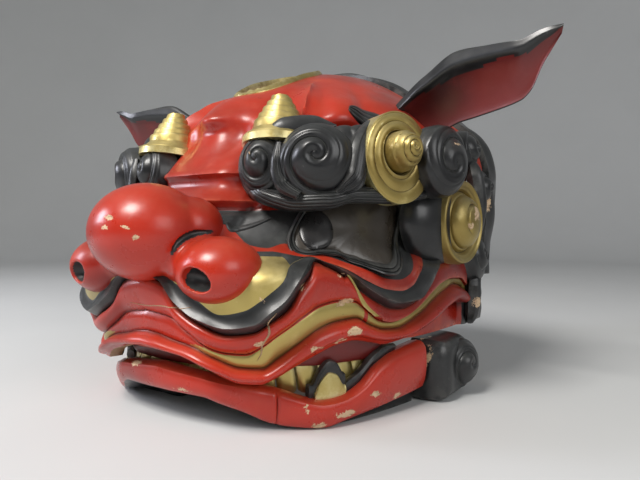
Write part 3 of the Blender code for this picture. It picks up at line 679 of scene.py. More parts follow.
def crown_ornament(tree):
    """The sunken leaf on the crown, with its gilt border."""
    y = np.concatenate([np.linspace(-16.5, -5, 14), np.linspace(-3, 90, 40), np.linspace(91, 97.5, 9)])
    side = smooth(ORNAMENT, y)
    edge = np.stack([np.concatenate([side, -side[::-1]]), np.concatenate([y, y[::-1]])], 1)
    middle = np.array([0, 40])
    rows = []
    for scale, rise in ((1.04, -1.5), (1.045, 0.8), (1.02, 2.0), (0.97, 2.3), (0.92, 1.8), (0.90, -1.5)):
        deep = ORNAMENT_DEPTH if 0.9 < scale < 0.99 else 0  # over the sunken leaf
        rows.append([drop_on(tree, *(middle + (p - middle) * scale), rise + deep * 0.8) for p in edge])
    rows.append(rows[0])
    rows = np.array(rows)
    put("crown_border", rows.reshape(-1, 3), grid_faces(len(rows), len(edge), wrap=True), [GOLD])


def surface(tree, s, z, rise):
    """The point of the carved face straight out from (s, z) on its plain skin, rise above it."""
    inner = Vector(skin(s, z, -30)[0])
    outer = Vector(skin(s, z, 40)[0])
    hit = tree.ray_cast(outer, (inner - outer).normalized())[0] or inner
    return np.array(hit + (outer - inner).normalized() * rise)


def ribbon(name, tree, line, width, rise, look, grooves=0):
    """A raised strip on the face through (s, z) points, pointed at its ends.

    With grooves it is even and on both sides; without them it is ragged and on one.
    """
    wobble = 0.0 if grooves else 0.3
    path = [(k, *p) for k, p in enumerate(line)]
    mids = smooth(path, np.linspace(0, len(line) - 1, 14 * len(line)))
    spread = np.linspace(-1, 1, 5 + 6 * grooves)
    sections = []
    for k, (s, z) in enumerate(mids):
        a, b = mids[max(k - 1, 0)], mids[min(k + 1, len(mids) - 1)]
        along = (b - a) / max(np.linalg.norm(b - a), 1e-6)
        across = np.array([-along[1], along[0]])
        taper = math.sin(math.pi * (k + 0.5) / len(mids)) ** 0.45
        half = width / 2 * taper * (1 - wobble + wobble * math.sin(k * 2.3))
        ring = []
        for c in spread:
            groove = 0.6 + 0.4 * abs(math.sin(math.pi * grooves * (c + 1) / 2)) if grooves else 1
            up = rise * math.sqrt(max(1 - c * c, 0)) * groove
            ring.append(surface(tree, s + across[0] * half * c, z + across[1] * half * c, up))
        for c in (0.6, -0.6):
            ring.append(surface(tree, s + across[0] * half * c, z + across[1] * half * c, -1.5))
        sections.append(ring)
    place = both_sides if grooves else put
    place(name, *sweep(sections), [look], sharp=30)


# ---------------------------------------------------------------- nose


def ball_mesh(work, centre, radii, tilt=None, subdivisions=5):
    """Adds an ellipsoid, its own z turned to tilt."""
    made = bmesh.ops.create_icosphere(work, subdivisions=subdivisions, radius=1)["verts"]
    bmesh.ops.scale(work, verts=made, vec=radii)
    if tilt:
        turn = Vector((0, 0, 1)).rotation_difference(Vector(tilt)).to_matrix()
        bmesh.ops.rotate(work, verts=made, cent=(0, 0, 0), matrix=turn)
    bmesh.ops.translate(work, verts=made, vec=centre)


def scratch_object(work):
    """A passing object of the millimetre work mesh."""
    bmesh.ops.scale(work, verts=work.verts, vec=(MM, MM, MM))
    mesh = bpy.data.meshes.new("scratch")
    work.to_mesh(mesh)
    work.free()
    made = bpy.data.objects.new("scratch", mesh)
    bpy.context.scene.collection.objects.link(made)
    return made


def applied(made):
    """The object with its modifiers worked into its mesh."""
    graph = bpy.context.evaluated_depsgraph_get()
    mesh = bpy.data.meshes.new_from_object(made.evaluated_get(graph))
    made.modifiers.clear()
    made.data = mesh
    return made


def remesh(made, voxel, smoothing, factor=0.5):
    """The object as one even skin, smoothed."""
    modifier = made.modifiers.new("remesh", "REMESH")
    modifier.mode = "VOXEL"
    modifier.voxel_size = voxel * MM
    soft = made.modifiers.new("soft", "SMOOTH")
    soft.iterations = smoothing
    soft.factor = factor
    return applied(made)


def cut(made, tool):
    """Takes the tool's shape out of the object, and removes the tool."""
    modifier = made.modifiers.new("cut", "BOOLEAN")
    modifier.operation = "DIFFERENCE"
    modifier.object = tool
    applied(made)
    bpy.data.objects.remove(tool)


# Balls as (centre, radii): the tip and what fills behind it, then the left wing, its root and its back.
NOSE_BALLS = [((0, -114, 134), (41.5, 38, 34)), ((0, -100, 120), (46, 24, 18))]
WING_BALLS = [
    ((57, -103, 109), (29.5, 28, 22.5)), ((34, -101, 114), (22, 24, 18)), ((22, -96, 137), (24, 24, 22)),
]
NOSTRIL, NOSTRIL_RADII, NOSTRIL_TILT = (61, -129, 104.5), (11, 11.5, 7.8), (0.28, 0.1, 1)
NOSTRIL_SHADE, NOSTRIL_SHADE_RADII, NOSTRIL_SHADE_DEPTH = (61, -122, 104.5), (11.5, 13, 9), 2.2  # what is painted black in the nostril as shade: inside this ball and deeper than this depth
# The groove over the left wing, as (u, x, y, z).
CRESCENT = [
    (0, 37.5, -125.5, 120), (1, 39.5, -123.6, 125), (2, 41, -119.7, 129.2), (3, 42, -113, 132.3),
    (4, 41.5, -105, 134), (5, 40, -97, 134.5),
]


def nose():
    """A great ball with two wings run together, bored nostrils painted black inside as shade, and a black
    crescent over each wing.
    """
    work = bmesh.new()
    for centre, radii in NOSE_BALLS:
        ball_mesh(work, centre, radii)
    for side in (-1, 1):
        for (x, y, z), radii in WING_BALLS:
            ball_mesh(work, (x * side, y, z), radii)
    made = remesh(scratch_object(work), 1.4, 14, 0.6)
    tree = tree_of(made.data)
    bores = bmesh.new()
    for side in (-1, 1):
        mirror = Vector((side, 1, 1))
        ball_mesh(bores, Vector(NOSTRIL) * mirror, NOSTRIL_RADII, Vector(NOSTRIL_TILT) * mirror)
    cut(made, scratch_object(bores))
    steps = 40
    line = [tree.find_nearest(Vector(p))[0] for p in smooth(CRESCENT, np.linspace(0, CRESCENT[-1][0], steps))]
    reach = [0.3 + 1.7 * math.sin(math.pi * k / (steps - 1)) ** 0.8 for k in range(steps)]
    groove = bmesh.new()
    for side in (-1, 1):
        for p, width in zip(line, reach):
            ball_mesh(groove, (p.x * side, p.y, p.z), (width * 1.3, width, width), subdivisions=2)
    cut(made, remesh(scratch_object(groove), 0.6, 1))
    mesh = remesh(made, 0.9, 3).data
    mesh.materials.clear()
    mesh.materials.append(RED)
    mesh.materials.append(BLACK)
    centres = np.empty(len(mesh.polygons) * 3)
    mesh.polygons.foreach_get("center", centres)
    centres = centres.reshape(-1, 3) / MM
    folded = np.abs(centres * (1, 0, 0)) + centres * (0, 1, 1)
    away = np.linalg.norm((folded[:, None, :] - np.array(line)[None]) / (1.3, 1, 1), axis=2) - np.array(reach)
    # Black: the crescent grooves, and as painted shade the faces deep inside the nostril bores.
    bored = np.linalg.norm((folded - NOSTRIL_SHADE) / NOSTRIL_SHADE_RADII, axis=1) < 0.95
    sunk = np.array([tree.find_nearest(Vector(c))[3] for c in centres]) > NOSTRIL_SHADE_DEPTH
    mesh.polygons.foreach_set("material_index", ((away.min(1) < 0.5) | (bored & sunk)).astype(np.int32))
    bpy.data.objects.remove(made)
    return finish_piece("nose_carving", mesh, "head", 60, ("nose",))


# ---------------------------------------------------------------- brows


def snail(name, node, centre, radius, hand):
    """A spiral curl of hair: a mound with one rounded ridge that winds in to its tip."""

    def top(t, a):
        within = (2.2 * t**0.9 + hand * a / (2 * math.pi)) % 1.0
        rounded = np.sin(math.pi * np.clip(within, 0, 1)) ** 0.55
        edge = 1 - ramp(0.9, 1.0, t)
        ridge = 2.8 * rounded * (0.35 + 0.65 * ramp(0, 0.2, t)) * edge
        return 11 * (1 - t**1.3) + ridge - 2.5 * (1 - edge)

    points, faces = polar(centre, (1, 0.1, 0.1), top, radius, 56, 120, 8)
    both_sides(name, points, faces, [BLACK], (node,))


def curl(name, node, centre, axis, radius, high, turns, hand, start, squash, lean, ridge=3.0, power=0.8,
         dome=1.8, skirt=7, body="head"):
    """A carved curl: one rounded ridge winding down from a domed tip, with fine lines on its outer turn."""

    def top(t, a):
        within = (turns * t**power + hand * (a - start) / (2 * math.pi)) % 1.0
        rounded = np.sin(math.pi * within) ** 0.42
        fine = np.abs(np.sin(4 * math.pi * within)) ** 0.7 * ramp(0.5, 0.66, t) * 0.7
        mound = high * np.maximum(1 - t**dome, 0) ** 0.85
        return mound + (ridge * rounded * (0.45 + 0.55 * ramp(0, 0.3, t)) + fine) * (1 - ramp(0.93, 1, t)) + 2

    points, faces = polar(centre, axis, top, radius, 72, 144, skirt, lean, squash)
    both_sides(name, points, faces, [BLACK], [node] if node else (), body=body)


# The brow's middle line, as (u, x, y, z, depth, height).
BROW_PATH = [
    (0, 42, -42, 180, 8, 15), (1, 58, -38, 180, 11, 21), (2, 84, -34, 181, 12, 26),
    (3, 108, -24, 183, 12, 27), (4, 126, -3, 184, 11, 27), (5, 141, 22, 185, 12, 26),
    (6, 151, 42, 186, 12, 23), (7, 156, 58, 186, 6, 12),
]


def brow_body():
    """The black brow under the curls, with fine flowing lines."""

    def ring(here, along, t):
        x, y, z, deep, tall = here
        outwards = Vector((along.y, -along.x, 0)).normalized()
        angle = np.linspace(0, 2 * math.pi, 100, endpoint=False)
        flow = 1.5 * np.abs(np.sin(46 * t + 1.9 * np.sin(angle + 0.6))) ** 0.6 * (np.cos(angle) > -0.2)
        c, s = np.cos(angle), np.sin(angle)
        a = np.sign(c) * np.abs(c) ** 0.85 * (deep + flow)
        b = np.sign(s) * np.abs(s) ** 0.85 * (tall + flow)
        return np.array([x, y, z]) + a[:, None] * np.array(outwards) + b[:, None] * np.array([0, 0, 1.0])

    points, faces = sweep(along_path(BROW_PATH, 260, ring))
    both_sides("brow_carving", points, faces, [BLACK], ("brow_SIDE",))


def lock(name, grooves, depth, *places):
    """A carved lock: a tapering half-round grooved strand through (x, y, z, width, rise) places."""

    def ring(here, along, _):
        x, y, z, width, rise = here
        out = Vector((x, y + 40, (z - 150) * 0.4)).normalized()
        side = along.cross(out).normalized()
        out = side.cross(along).normalized()
        c = np.linspace(-1, 1, 26)
        cuts = depth * np.abs(np.cos(math.pi * grooves * c)) ** 6 * min(1, width / 4)
        top = np.sqrt(np.maximum(1 - c**2, 0)) * rise - cuts
        profile = [(a * width, b) for a, b in zip(c, top)] + [(width * 0.7, -rise), (-width * 0.7, -rise)]
        return [np.array([x, y, z]) + np.array(side) * a + np.array(out) * b for a, b in profile]

    path = [(u, *place) for u, place in enumerate(places)]
    both_sides(name, *sweep(along_path(path, 60, ring)), [BLACK])


def brow_curls():
    """The three curls in front of each brow and the locks between them."""
    curl("brow_curl_inner", "brow_snail_inner_SIDE", (58, -54, 180), (0.35, -0.93, 0.08), 21, high=17,
         turns=2.4, hand=1, start=0.5, squash=1.22, lean=(-3, 5), dome=1.3)
    curl("brow_curl_middle", "brow_snail_middle_SIDE", (96, -46, 182), (0.52, -0.85, 0.02), 28, high=16,
         turns=1.7, hand=-1, start=2.0, squash=1.0, lean=(-2, 5), ridge=4.2, power=0.7)
    curl("brow_curl_outer", "brow_snail_outer_SIDE", (158, 27, 187), (0.93, -0.36, 0), 25, high=12,
         turns=1.3, hand=1, start=1.0, squash=1.1, lean=(2, -2), ridge=4.5)
    lock("brow_leaf", 1, 0.0, (62, -60, 204, 3, 3), (74, -52, 208, 9, 5), (88, -40, 210, 9, 5),
         (100, -28, 210, 2, 3))
    lock("brow_fold", 4, 0.9, (112, -46, 160, 3, 3), (121, -37, 172, 9, 7), (121, -30, 190, 10, 7),
         (122, -16, 208, 7, 5), (124, -6, 214, 3, 3))
    lock("brow_sill", 3, 0.9, (46, -62, 168, 3, 3), (62, -64, 160, 6, 5), (84, -58, 155, 7, 6),
         (104, -49, 156, 7, 6), (120, -34, 160, 6, 5), (136, -8, 160, 6, 5), (150, 18, 162, 3, 3))
    lock("brow_swirl", 3, 0.9, (76, -64, 196, 2, 2), (76, -66, 182, 5, 4), (80, -66, 168, 6, 4),
         (92, -62, 159, 4, 3))


def brow_cone():
    """The gilt turret on the brow's inner end: five stepped turns on a wide drooping brim."""

    def top(t, a):
        turn = 5 * np.clip((1 - t / 0.74) / 0.74, 0, 1) + a / (2 * math.pi)
        step = np.floor(turn) + ramp(0.0, 0.5, turn % 1) - a / (2 * math.pi)
        cone = 3 + 27 * np.clip(step / 5, 0, 1) ** 0.9
        brim = 3 - 8 * ramp(0.66, 1.0, t) + 1.6 * hump(t, 0.94, 0.04)
        return np.where(t < 0.74, cone, brim)

    points, faces = polar((58, -40, 207), (-0.03, 0.12, 1), top, 27.5, 90, 110, 10)
    both_sides("brow_turret", points, faces, [GOLD], ("brow_cone_SIDE",))


def brow_fan():
    """The gilt fan: a disc of off-centre folds round a leaning spiral knob."""
    edge = 0.44  # the knob's, as a share of the radius

    def top(t, a):
        knob = 19 * np.sqrt(np.maximum(1 - (t / edge) ** 2, 0))
        wind = (4 * t / edge - a / (2 * math.pi)) % 1.0
        winding = 1.9 * np.sin(math.pi * wind) ** 0.5 * (t < 0.43) * ramp(0, 0.1, t)
        folds = np.abs(np.sin(math.pi * 4.4 * (t - 0.30 + 0.03 * np.sin(a)))) ** 0.5
        disc = 8 - 3.5 * ramp(0.45, 1, t) + 1.5 * folds * ramp(0.46, 0.5, t) * (1 - ramp(0.94, 1, t))
        return disc + knob + winding - 2.2 * hump(t, 0.455, 0.02)

    def rim(a):
        return 30 + 1.5 * np.sin(a - 0.5)

    points, faces = polar((137, -4, 186), (0.9, -0.43, 0.05), top, rim, 84, 150, 12, (-5, 5), 1.12)
    both_sides("brow_fan_carving", points, faces, [GOLD], ("brow_fan_SIDE",))


# ---------------------------------------------------------------- eyes and temples

EYE_OUTLINE = [
    (112, 124), (120, 121), (132, 122), (144, 121), (156, 117), (166, 114), (176, 112), (186, 111),
    (192, 114), (196, 119), (199, 124), (202, 129), (203, 139), (202, 149), (195, 158), (170, 160),
    (140, 159), (118, 156), (108, 148), (107, 136),
]
LID_OUTLINE = [
    (106, 121), (114, 117), (132, 118), (146, 116), (158, 111), (170, 107), (183, 103), (194, 104),
    (200, 109), (204, 115), (207, 124), (209, 134), (209, 148), (207, 160), (200, 166), (170, 168),
    (138, 167), (112, 163), (103, 150), (102, 134),
]
EYE_MIDDLE = (158, 136)


def round_outline(points, middle, count):
    """A smooth closed outline resampled by angle about its middle, as (s, z)."""
    rel = np.array(points, float) - middle
    angle = np.arctan2(rel[:, 1], rel[:, 0]) % (2 * math.pi)
    order = np.argsort(angle)
    reach = np.hypot(rel[:, 0], rel[:, 1])[order]
    angle = angle[order]
    curve = [(a + 2 * math.pi * k, r) for k in (-1, 0, 1) for a, r in zip(angle, reach)]
    fine = np.linspace(0, 2 * math.pi, count, endpoint=False)
    length = smooth(curve, fine)
    return np.stack([middle[0] + length * np.cos(fine), middle[1] + length * np.sin(fine)], 1)


# The lids' section from the eye's rim to their own edge, as (share of the way, rise).
LID_PROFILE = [
    (0.0, -6), (0.0, 5), (0.12, 7.6), (0.34, 8.2), (0.38, 6.2), (0.43, 7.2), (0.62, 8), (0.67, 5.8),
    (0.73, 7), (0.9, 6), (1.0, 2.0), (1.0, -8),
]
PUPIL_MIDDLE, PUPIL_WIDE, PUPIL_TALL = (124, 135), 12.5, 14.5
PUPIL_PROFILE = [
    (0.1, 1.5), (0.3, 1.5), (0.5, 1.45), (0.7, 1.35), (0.85, 1.1), (0.94, 0.7), (1.0, 0.0), (1.0, -3.0),
]


def eye():
    """The smooth eye, its lids and the darker disc of the pupil."""
    sectors, pupil_sectors = 160, 72
    rim = round_outline(EYE_OUTLINE, EYE_MIDDLE, sectors)
    lid = round_outline(LID_OUTLINE, EYE_MIDDLE, sectors)
    across, out, up = np.array([0.75, 0.66, 0.0]), np.array([0.66, -0.75, 0.0]), np.array([0.0, 0.0, 1.0])

    def socket(sz):
        return skin(sz[:, 0], sz[:, 1], recess(sz[:, 0], sz[:, 1]))

    origin = socket(np.array([EYE_MIDDLE], float))[0]

    def terms(u, h):
        return np.stack([1 + 0 * u, u, h, u * u, u * h, h * h], -1)

    spread = np.vstack([EYE_MIDDLE + (rim - EYE_MIDDLE) * v for v in np.linspace(0.1, 1, 10)])
    around = socket(spread) - origin
    curve = np.linalg.lstsq(terms(around @ across, around[:, 2]), around @ out, rcond=None)[0]

    def place(u, h, rise):
        forward = (terms(u, h) @ curve + rise)[..., None] * out
        return origin + u[..., None] * across + h[..., None] * up + forward

    edge = socket(rim) - origin
    edge_u, edge_h = edge @ across, edge[:, 2]
    outer = socket(lid) - origin
    lid_u, lid_h = outer @ across, outer[:, 2]

    def dome(v):
        return 4.0 + 5.5 * (1 - v**2.2) ** 0.8

    rows = [place(edge_u * v, edge_h * v, dome(v)) for v in np.linspace(0, 1, 40)[1:]]
    rows.append(place(edge_u, edge_h, -6.0))
    points = np.vstack([*rows, place(np.zeros(1), np.zeros(1), dome(0.0))])
    faces = grid_faces(len(rows), sectors, wrap=True)
    faces += [[(j + 1) % sectors, j, len(points) - 1] for j in range(sectors)]
    faces.append([(len(rows) - 1) * sectors + j for j in range(sectors)])
    both_sides("eyeball", points, faces, [EYE_LOOK], ("eye_SIDE",))
    wider, taller = lid_u - edge_u, lid_h - edge_h
    rows = [place(edge_u + wider * v, edge_h + taller * v, rise) for v, rise in LID_PROFILE]
    rows.append(rows[0])
    both_sides("eyelid", np.vstack(rows), grid_faces(len(rows), sectors, wrap=True), [BLACK])
    reach = np.hypot(edge_u, edge_h)
    bearing = np.arctan2(edge_h, edge_u)
    order = np.argsort(bearing)
    centre = socket(np.array([PUPIL_MIDDLE], float))[0] - origin
    angle = np.linspace(0, 2 * math.pi, pupil_sectors, endpoint=False)
    rows = []
    for r, lift in PUPIL_PROFILE:
        u = centre @ across + PUPIL_WIDE * r * np.cos(angle)
        h = centre[2] + PUPIL_TALL * r * np.sin(angle)
        v = np.hypot(u, h) / np.interp(np.arctan2(h, u), bearing[order], reach[order], period=2 * math.pi)
        rows.append(place(u, h, dome(np.minimum(v, 1)) + lift))
    faces = grid_faces(len(rows), pupil_sectors, wrap=True)
    faces.append([(len(rows) - 1) * pupil_sectors + j for j in range(pupil_sectors)])
    faces.append(list(reversed(range(pupil_sectors))))
    both_sides("pupil", np.vstack(rows), faces, [PUPIL])


def temple():
    """The long black pad behind the eye, and the gilt boss on it."""
    axis = (1, -0.2, 0)

    def pad(t, _):
        return 20 * np.sqrt(np.maximum(1 - t**2.2, 0))

    points, faces = polar((142, 56, 142), axis, pad, 42, 30, 120, 3, squash=0.86)
    both_sides("temple_pad_carving", points, faces, [BLACK], ("temple_pad_SIDE",))

    def boss(t, a):
        dish = 5.5 - 3.5 * hump(t, 0.72, 0.045) + 1.8 * hump(t, 0.93, 0.05)
        knob = 11.5 * np.sqrt(np.maximum(1 - (t / 0.62) ** 2.2, 0))
        hook = 2.6 * hump(t, 0.36 + 0.08 * np.cos(a - 0.6), 0.03) * ramp(0.1, 0.5, np.cos((a - 2.0) / 2) ** 2)
        return dish + knob - hook - 4 * ramp(0.96, 1, t)

    points, faces = polar((159, 67, 142), axis, boss, 32, 80, 120, 7, squash=1.08)
    both_sides("temple_boss_carving", points, faces, [GOLD], ("temple_boss_SIDE",))


# ---------------------------------------------------------------- hair at the back


def hair():
    """Three spiral curls and two locks behind the temple."""
    for name, place, radius, hand in (("upper", (153, 110, 206), 19, 1), ("middle", (161, 124, 174), 17, -1),
                                      ("lower", (158, 118, 112), 23, 1)):
        snail("hair_" + name, f"hair_curl_{name}_SIDE", place, radius, hand)
    lock("hair_tail", 3, 0.9, (158, 116, 92, 8, 6), (158, 112, 78, 10, 7), (157, 112, 64, 9, 6),
         (155, 116, 53, 3, 3))
    lock("hair_side", 3, 0.9, (158, 108, 196, 5, 4), (164, 104, 180, 8, 6), (166, 106, 160, 8, 6),
         (163, 112, 140, 6, 5), (160, 116, 130, 3, 3))


# Z, half width of the open back.
ARCH = [
    (300, 0), (299, 14), (297, 25), (290, 47), (280, 67), (265, 90), (251, 112), (234, 137), (219, 153),
    (205, 160), (183, 165), (150, 163), (125, 160), (96, 158),
]


def rear_band():
    """The black band along the open back, with the shallow flowing relief of hair."""
    arch = [(x, z) for z, x in reversed(ARCH)] + [(-x, z) for z, x in ARCH[1:]]
    lengths = np.cumsum([0.0] + [math.dist(a, b) for a, b in zip(arch, arch[1:])])
    path = [(length, x, 0.0, z) for length, (x, z) in zip(lengths, arch)]
    sections, steps = [], 18
    for u in np.linspace(0, lengths[-1], 260):
        x, _, z = smooth(path, u)[0]
        ahead, behind = smooth(path, min(u + 1, lengths[-1]))[0], smooth(path, max(u - 1, 0))[0]
        along = Vector(ahead - behind).normalized()
        out = np.array([along.z, 0, -along.x])
        wave = 1.3 * np.sin(u / 9 + np.linspace(0, 3, steps)) * np.sin(np.linspace(0, math.pi, steps)) ** 0.5
        y = np.linspace(-24 + 2 * math.sin(u / 14), -0.6, steps)
        rise = 3.5 + 2.6 * np.sin(np.linspace(0.1, 3.0, steps)) + wave
        ring = [np.array([x, REAR_Y + a, z]) + out * b for a, b in zip(y, rise)]
        ring += [np.array([x, REAR_Y - 0.6, z]) - out * 8, np.array([x, REAR_Y + y[0], z]) - out * 8]
        sections.append(ring)
    put("rear_band_carving", *sweep(sections), [BLACK], stands_for=("rear_band",))


# ---------------------------------------------------------------- ears

EAR_PATH = [
    (0, 104, 64, 222, 16, 9), (1, 136, 60, 236, 23, 8), (2, 164, 56, 248, 23.5, 6.5),
    (3, 190, 50, 250, 22, 5), (4, 212, 44, 251, 19, 4.5), (5, 229, 41, 263, 12.5, 4),
    (6, 242, 39, 274, 3, 2.5),
]


def ear():
    """A long twisting leaf: black on its back and its rolled upper rim, hollow in front, where its red is the
    darker copy painted as shade.
    """
    count = 60

    def round_leaf(angle):
        c = np.cos(angle)
        return np.sign(c) * np.abs(c) ** 0.8 * 1.12, np.sin(angle)

    across, s = round_leaf(np.linspace(0, 2 * math.pi, count, endpoint=False))
    face = np.array(Vector((0.1, -0.94, -0.35)).normalized())
    bowl = np.clip(1 - ((across + 0.22) / 0.86) ** 2, 0, 1) ** 0.8
    depth = np.where(s > 0, 0.3 * s**2 - 0.75 * bowl, 1.15 * s)
    roll = 0.42 * hump(across, 0.82, 0.2) * np.clip(s * 3, 0, 1)
    sections = []
    stations = np.linspace(0, EAR_PATH[-1][0], 120)
    for u in stations:
        x, y, z, half, thick = smooth(EAR_PATH, u)[0]
        broad = Vector((0.25 * float(ramp(4.4, 5.4, u)), -0.33, 0.92)).normalized()
        back = 0.42 * hump(u, 1.9, 1.1) * np.clip(-s, 0, 1) * np.clip(across + 0.7, 0, 1)
        wide = (half * (across + back))[:, None] * np.array(broad)
        sections.append(np.array([x, y, z]) + wide + (thick * (depth + roll))[:, None] * face)
    across, s = round_leaf((np.arange(count) + 0.5) * 2 * math.pi / count)
    # The hollow front faces take the darker red, painted shade; the rest is black.
    looks = []
    for u in (stations[:-1] + stations[1:]) / 2:
        limit = 0.5 + 0.12 * math.sin(u * 2.2)
        looks.append(((s > 0) & (across < limit) & (across > -1.08)).astype(int))
    looks = np.concatenate([np.concatenate(looks), [0, 0]])
    both_sides("ear_carving", *sweep(sections), [BLACK, SHADED_RED], ("ear_SIDE",), look_of=looks)


# ---------------------------------------------------------------- the mouth

JAW_TOP = [
    (0, 42), (50, 37), (100, 28), (134, 19), (147, 20), (162, 26), (178, 38), (197, 45), (228, 49),
]
JAW_BASE = [
    (0, 24), (40, 23), (70, 16), (95, 6), (110, 3), (134, 1), (151, 4), (178, 8), (228, 14),
]
FANG_TOP = [
    (127, 22), (133, 33), (139, 38), (145, 36), (151, 28), (158, 33), (168, 41), (190, 44),
]
# How far the black underside runs back behind the lip's lower edge.
JAW_UNDER = [(0, 60), (50, 52), (100, 28), (134, 9), (180, 12), (228, 14)]


def setback(s):
    """How far the mouth's front lies behind the muzzle."""
    return 10 * (1 - ramp(90, 140, np.abs(s)))


def wall_sections(s_values, profile):
    """Sections of a band round the face: profile(s) gives its (z, out) points."""
    sections = []
    for s in s_values:
        zo = np.array(profile(s), float)
        sections.append(skin(np.full(len(zo), s), zo[:, 0], zo[:, 1] - setback(s)))
    return sections


def upper_gum():
    """The gum that the upper teeth hang from, in the darker red painted as shade under the lip."""
    profile = [(58, -11), (50, -11.2), (44, -12), (41, -14), (40.5, -17), (41.5, -21), (50, -23), (58, -23)]
    sections = wall_sections(np.linspace(-196, 196, 260), lambda s: profile)
    put("gum_upper", *sweep(sections), [SHADED_RED], stands_for=("upper_gum",))


TOOTH_EDGES = [0, 15, 31, 48, 66, 84, 101, 117, 133, 148, 162, 175, 187]  # round the face
TOOTH_TOP = 44


def upper_teeth():
    """One row of carved gilt teeth, with slanted gaps."""
    points, faces = [], []
    for side in (-1, 1):
        for a, b in zip(TOOTH_EDGES, TOOTH_EDGES[1:]):
            low = 21 + 8 * float(ramp(150, 190, (a + b) / 2))
            profile = [(TOOTH_TOP, -14.5), (36, -13.2), (28, -13.0), (low + 2.5, -13.6), (low, -15.5),
                       (low, -19), (30, -21), (TOOTH_TOP, -21)]
            sections = []
            for t in np.linspace(0, 1, 13):
                s = a + 0.9 + (b - a - 1.8) * t
                corner = 1 - (1 - (2 * t - 1) ** 4)
                ring = []
                for z, out in profile:
                    slant = (TOOTH_TOP - z) * 0.16
                    up = z + (0 if z > 30 else 1.5 * corner)
                    forward = out - setback(s) - 2 - 1.6 * corner * (out > -18)
                    ring.append(skin(side * (s + slant), up, forward)[0])
                sections.append(ring)
            tooth_points, tooth_faces = sweep(sections)
            first = sum(len(p) for p in points)
            faces += [[i + first for i in face] for face in tooth_faces]
            points.append(tooth_points)
    put("teeth_upper", np.vstack(points), faces, [GOLD], stands_for=("upper_teeth",))


def jaw_body():
    """The lower lip: a full convex roll, black underneath (partly its own black, partly painted shade),
    thicker where the cheek runs back.
    """

    def profile(s):
        at = abs(s)
        top, base, under = (smooth(line, at)[0] for line in (JAW_TOP, JAW_BASE, JAW_UNDER))
        thick = 15 + 2 * float(ramp(180, 228, at))
        back = float(ramp(150, 185, at))
        notch = 1.6 * float(hump(at, 101, 1.2))
        points = [(top - 0.5, 5 - thick), (top + 0.3, -10), (top, -5.5), (top - 1.4, -2.8 - notch)]
        for t in np.linspace(0.12, 0.92, 12):
            z = top + (base - top) * t
            points.append((z, -2.4 + 3.4 * (1 - (2 * t - 1) ** 2) ** 0.7 - 1.5 * t - notch))
        points += [(base, -3.6 - notch), (base - 0.4, -5.5), (max(base - 1.2, 0.2), -7 - 1.5 * back)]
        points += [(max(base - 1.6, 0.15), -0.6 * under - 4), (0.1, -under), (0.1, -under - 12)]
        points += [(min(6.0, top), -under - 16 if at < 140 else -thick), (top - 1.5, -thick)]
        return points

    s_values = np.linspace(-228, 228, 457)
    looks = np.full(len(profile(0)), R)
    looks[17:22] = K  # the underside's rows, black: partly the real black under-part, partly painted shade beneath the lip
    looks = np.concatenate([np.tile(looks, len(s_values) - 1), [W, W]])
    points, faces = sweep(wall_sections(s_values, profile))
    put("jaw_lip", points, faces, LOOKS, "jaw", look_of=looks, sharp=50, stands_for=("jaw",))
    # The floor's sides and top are black as painted shade under the jaw, matching the lip's underside; its
    # bottom is bare wood.
    front = [skin([s], 8, -smooth(JAW_UNDER, s)[0] - setback(s) - 8)[0][:2] for s in np.linspace(0, 150, 24)]
    outline = [(x, y) for x, y in front] + [(-x, y) for x, y in reversed(front[1:])]
    points, faces = sweep([[(x, y, z) for x, y in outline] for z in (1.5, 3, 7.5, 9)])
    put("jaw_floor", points, faces, [BLACK, WOOD], "jaw", look_of=[0] * (len(faces) - 2) + [1, 0])


def jaw_gums():
    """The black gums at the corners of the lower jaw, and a gilt fang in front of each."""

    def gum(at):
        top = smooth(JAW_TOP, at)[0] + 0.2
        base = max(top, smooth(FANG_TOP, at)[0] + 0.2 if at < 152.5 else 0)
        top = min(base + 7.5, 50.5)
        return [(base - 2, -8.2), (base + 1, -7.4), ((base + top) / 2, -6.6), (top - 1, -7.4), (top, -10),
                (top - 1, -13), (base, -14), (base - 2, -14)]

    def fang(at):
        low, high = smooth(JAW_TOP, at)[0] - 1, smooth(FANG_TOP, at)[0]
        middle = low + (high - low) * 0.5
        return [(low, -6.8), (middle, -6.2), (high - 1.5, -7.2), (high, -9), (high - 1, -12), (low, -13)]

    points, faces = sweep(wall_sections(np.linspace(124, 200, 70), gum))
    both_sides("gum_lower", points, faces, [BLACK], ("jaw_gum_SIDE",), body="jaw")
    points, faces = sweep(wall_sections(np.linspace(128, 152, 30), fang))
    both_sides("fang_carving", points, faces, [GOLD], ("fang_SIDE",), body="jaw")


# The drum's sections from its inner to its outer face, as (x, size).
DRUM = [
    (128, 0.96), (129, 0.99), (131, 1), (140, 1), (146, 0.995), (151, 0.975), (155, 0.94), (158, 0.88),
    (160, 0.80), (161, 0.72),
]


def jaw_curl():
    """The black drum at the jaw's rear end, with a carved curl on its side."""
    y, z = JAW_AXIS
    front, radius, low, steps = 37.5, 25.5, 0.1, 40
    outline = [(front + 2, 1.5), (front, 6), (front, 20), (front, 34), (front + 1.5, z + radius - 5),
               (front + 6, z + radius - 1)]
    for angle in (math.pi / 2 - math.pi * k / steps for k in range(steps + 1)):
        outline.append((y + radius * math.cos(angle), max(z + radius * math.sin(angle), low)))
    sections = [[(x, y + (a - y) * size, z + (b - z) * size) for a, b in outline] for x, size in DRUM]
    both_sides("jaw_drum", *sweep(sections), [BLACK], ("jaw_curl_SIDE",), body="jaw", sharp=35)
    curl("jaw_spiral", "", (154, y - 1, z + 1), (1, -0.25, 0.05), 21, high=15, turns=1.35, hand=-1,
         start=3.6, squash=1.0, lean=(-3, 2), ridge=3.6, skirt=6, body="jaw")


# ---------------------------------------------------------------- the set


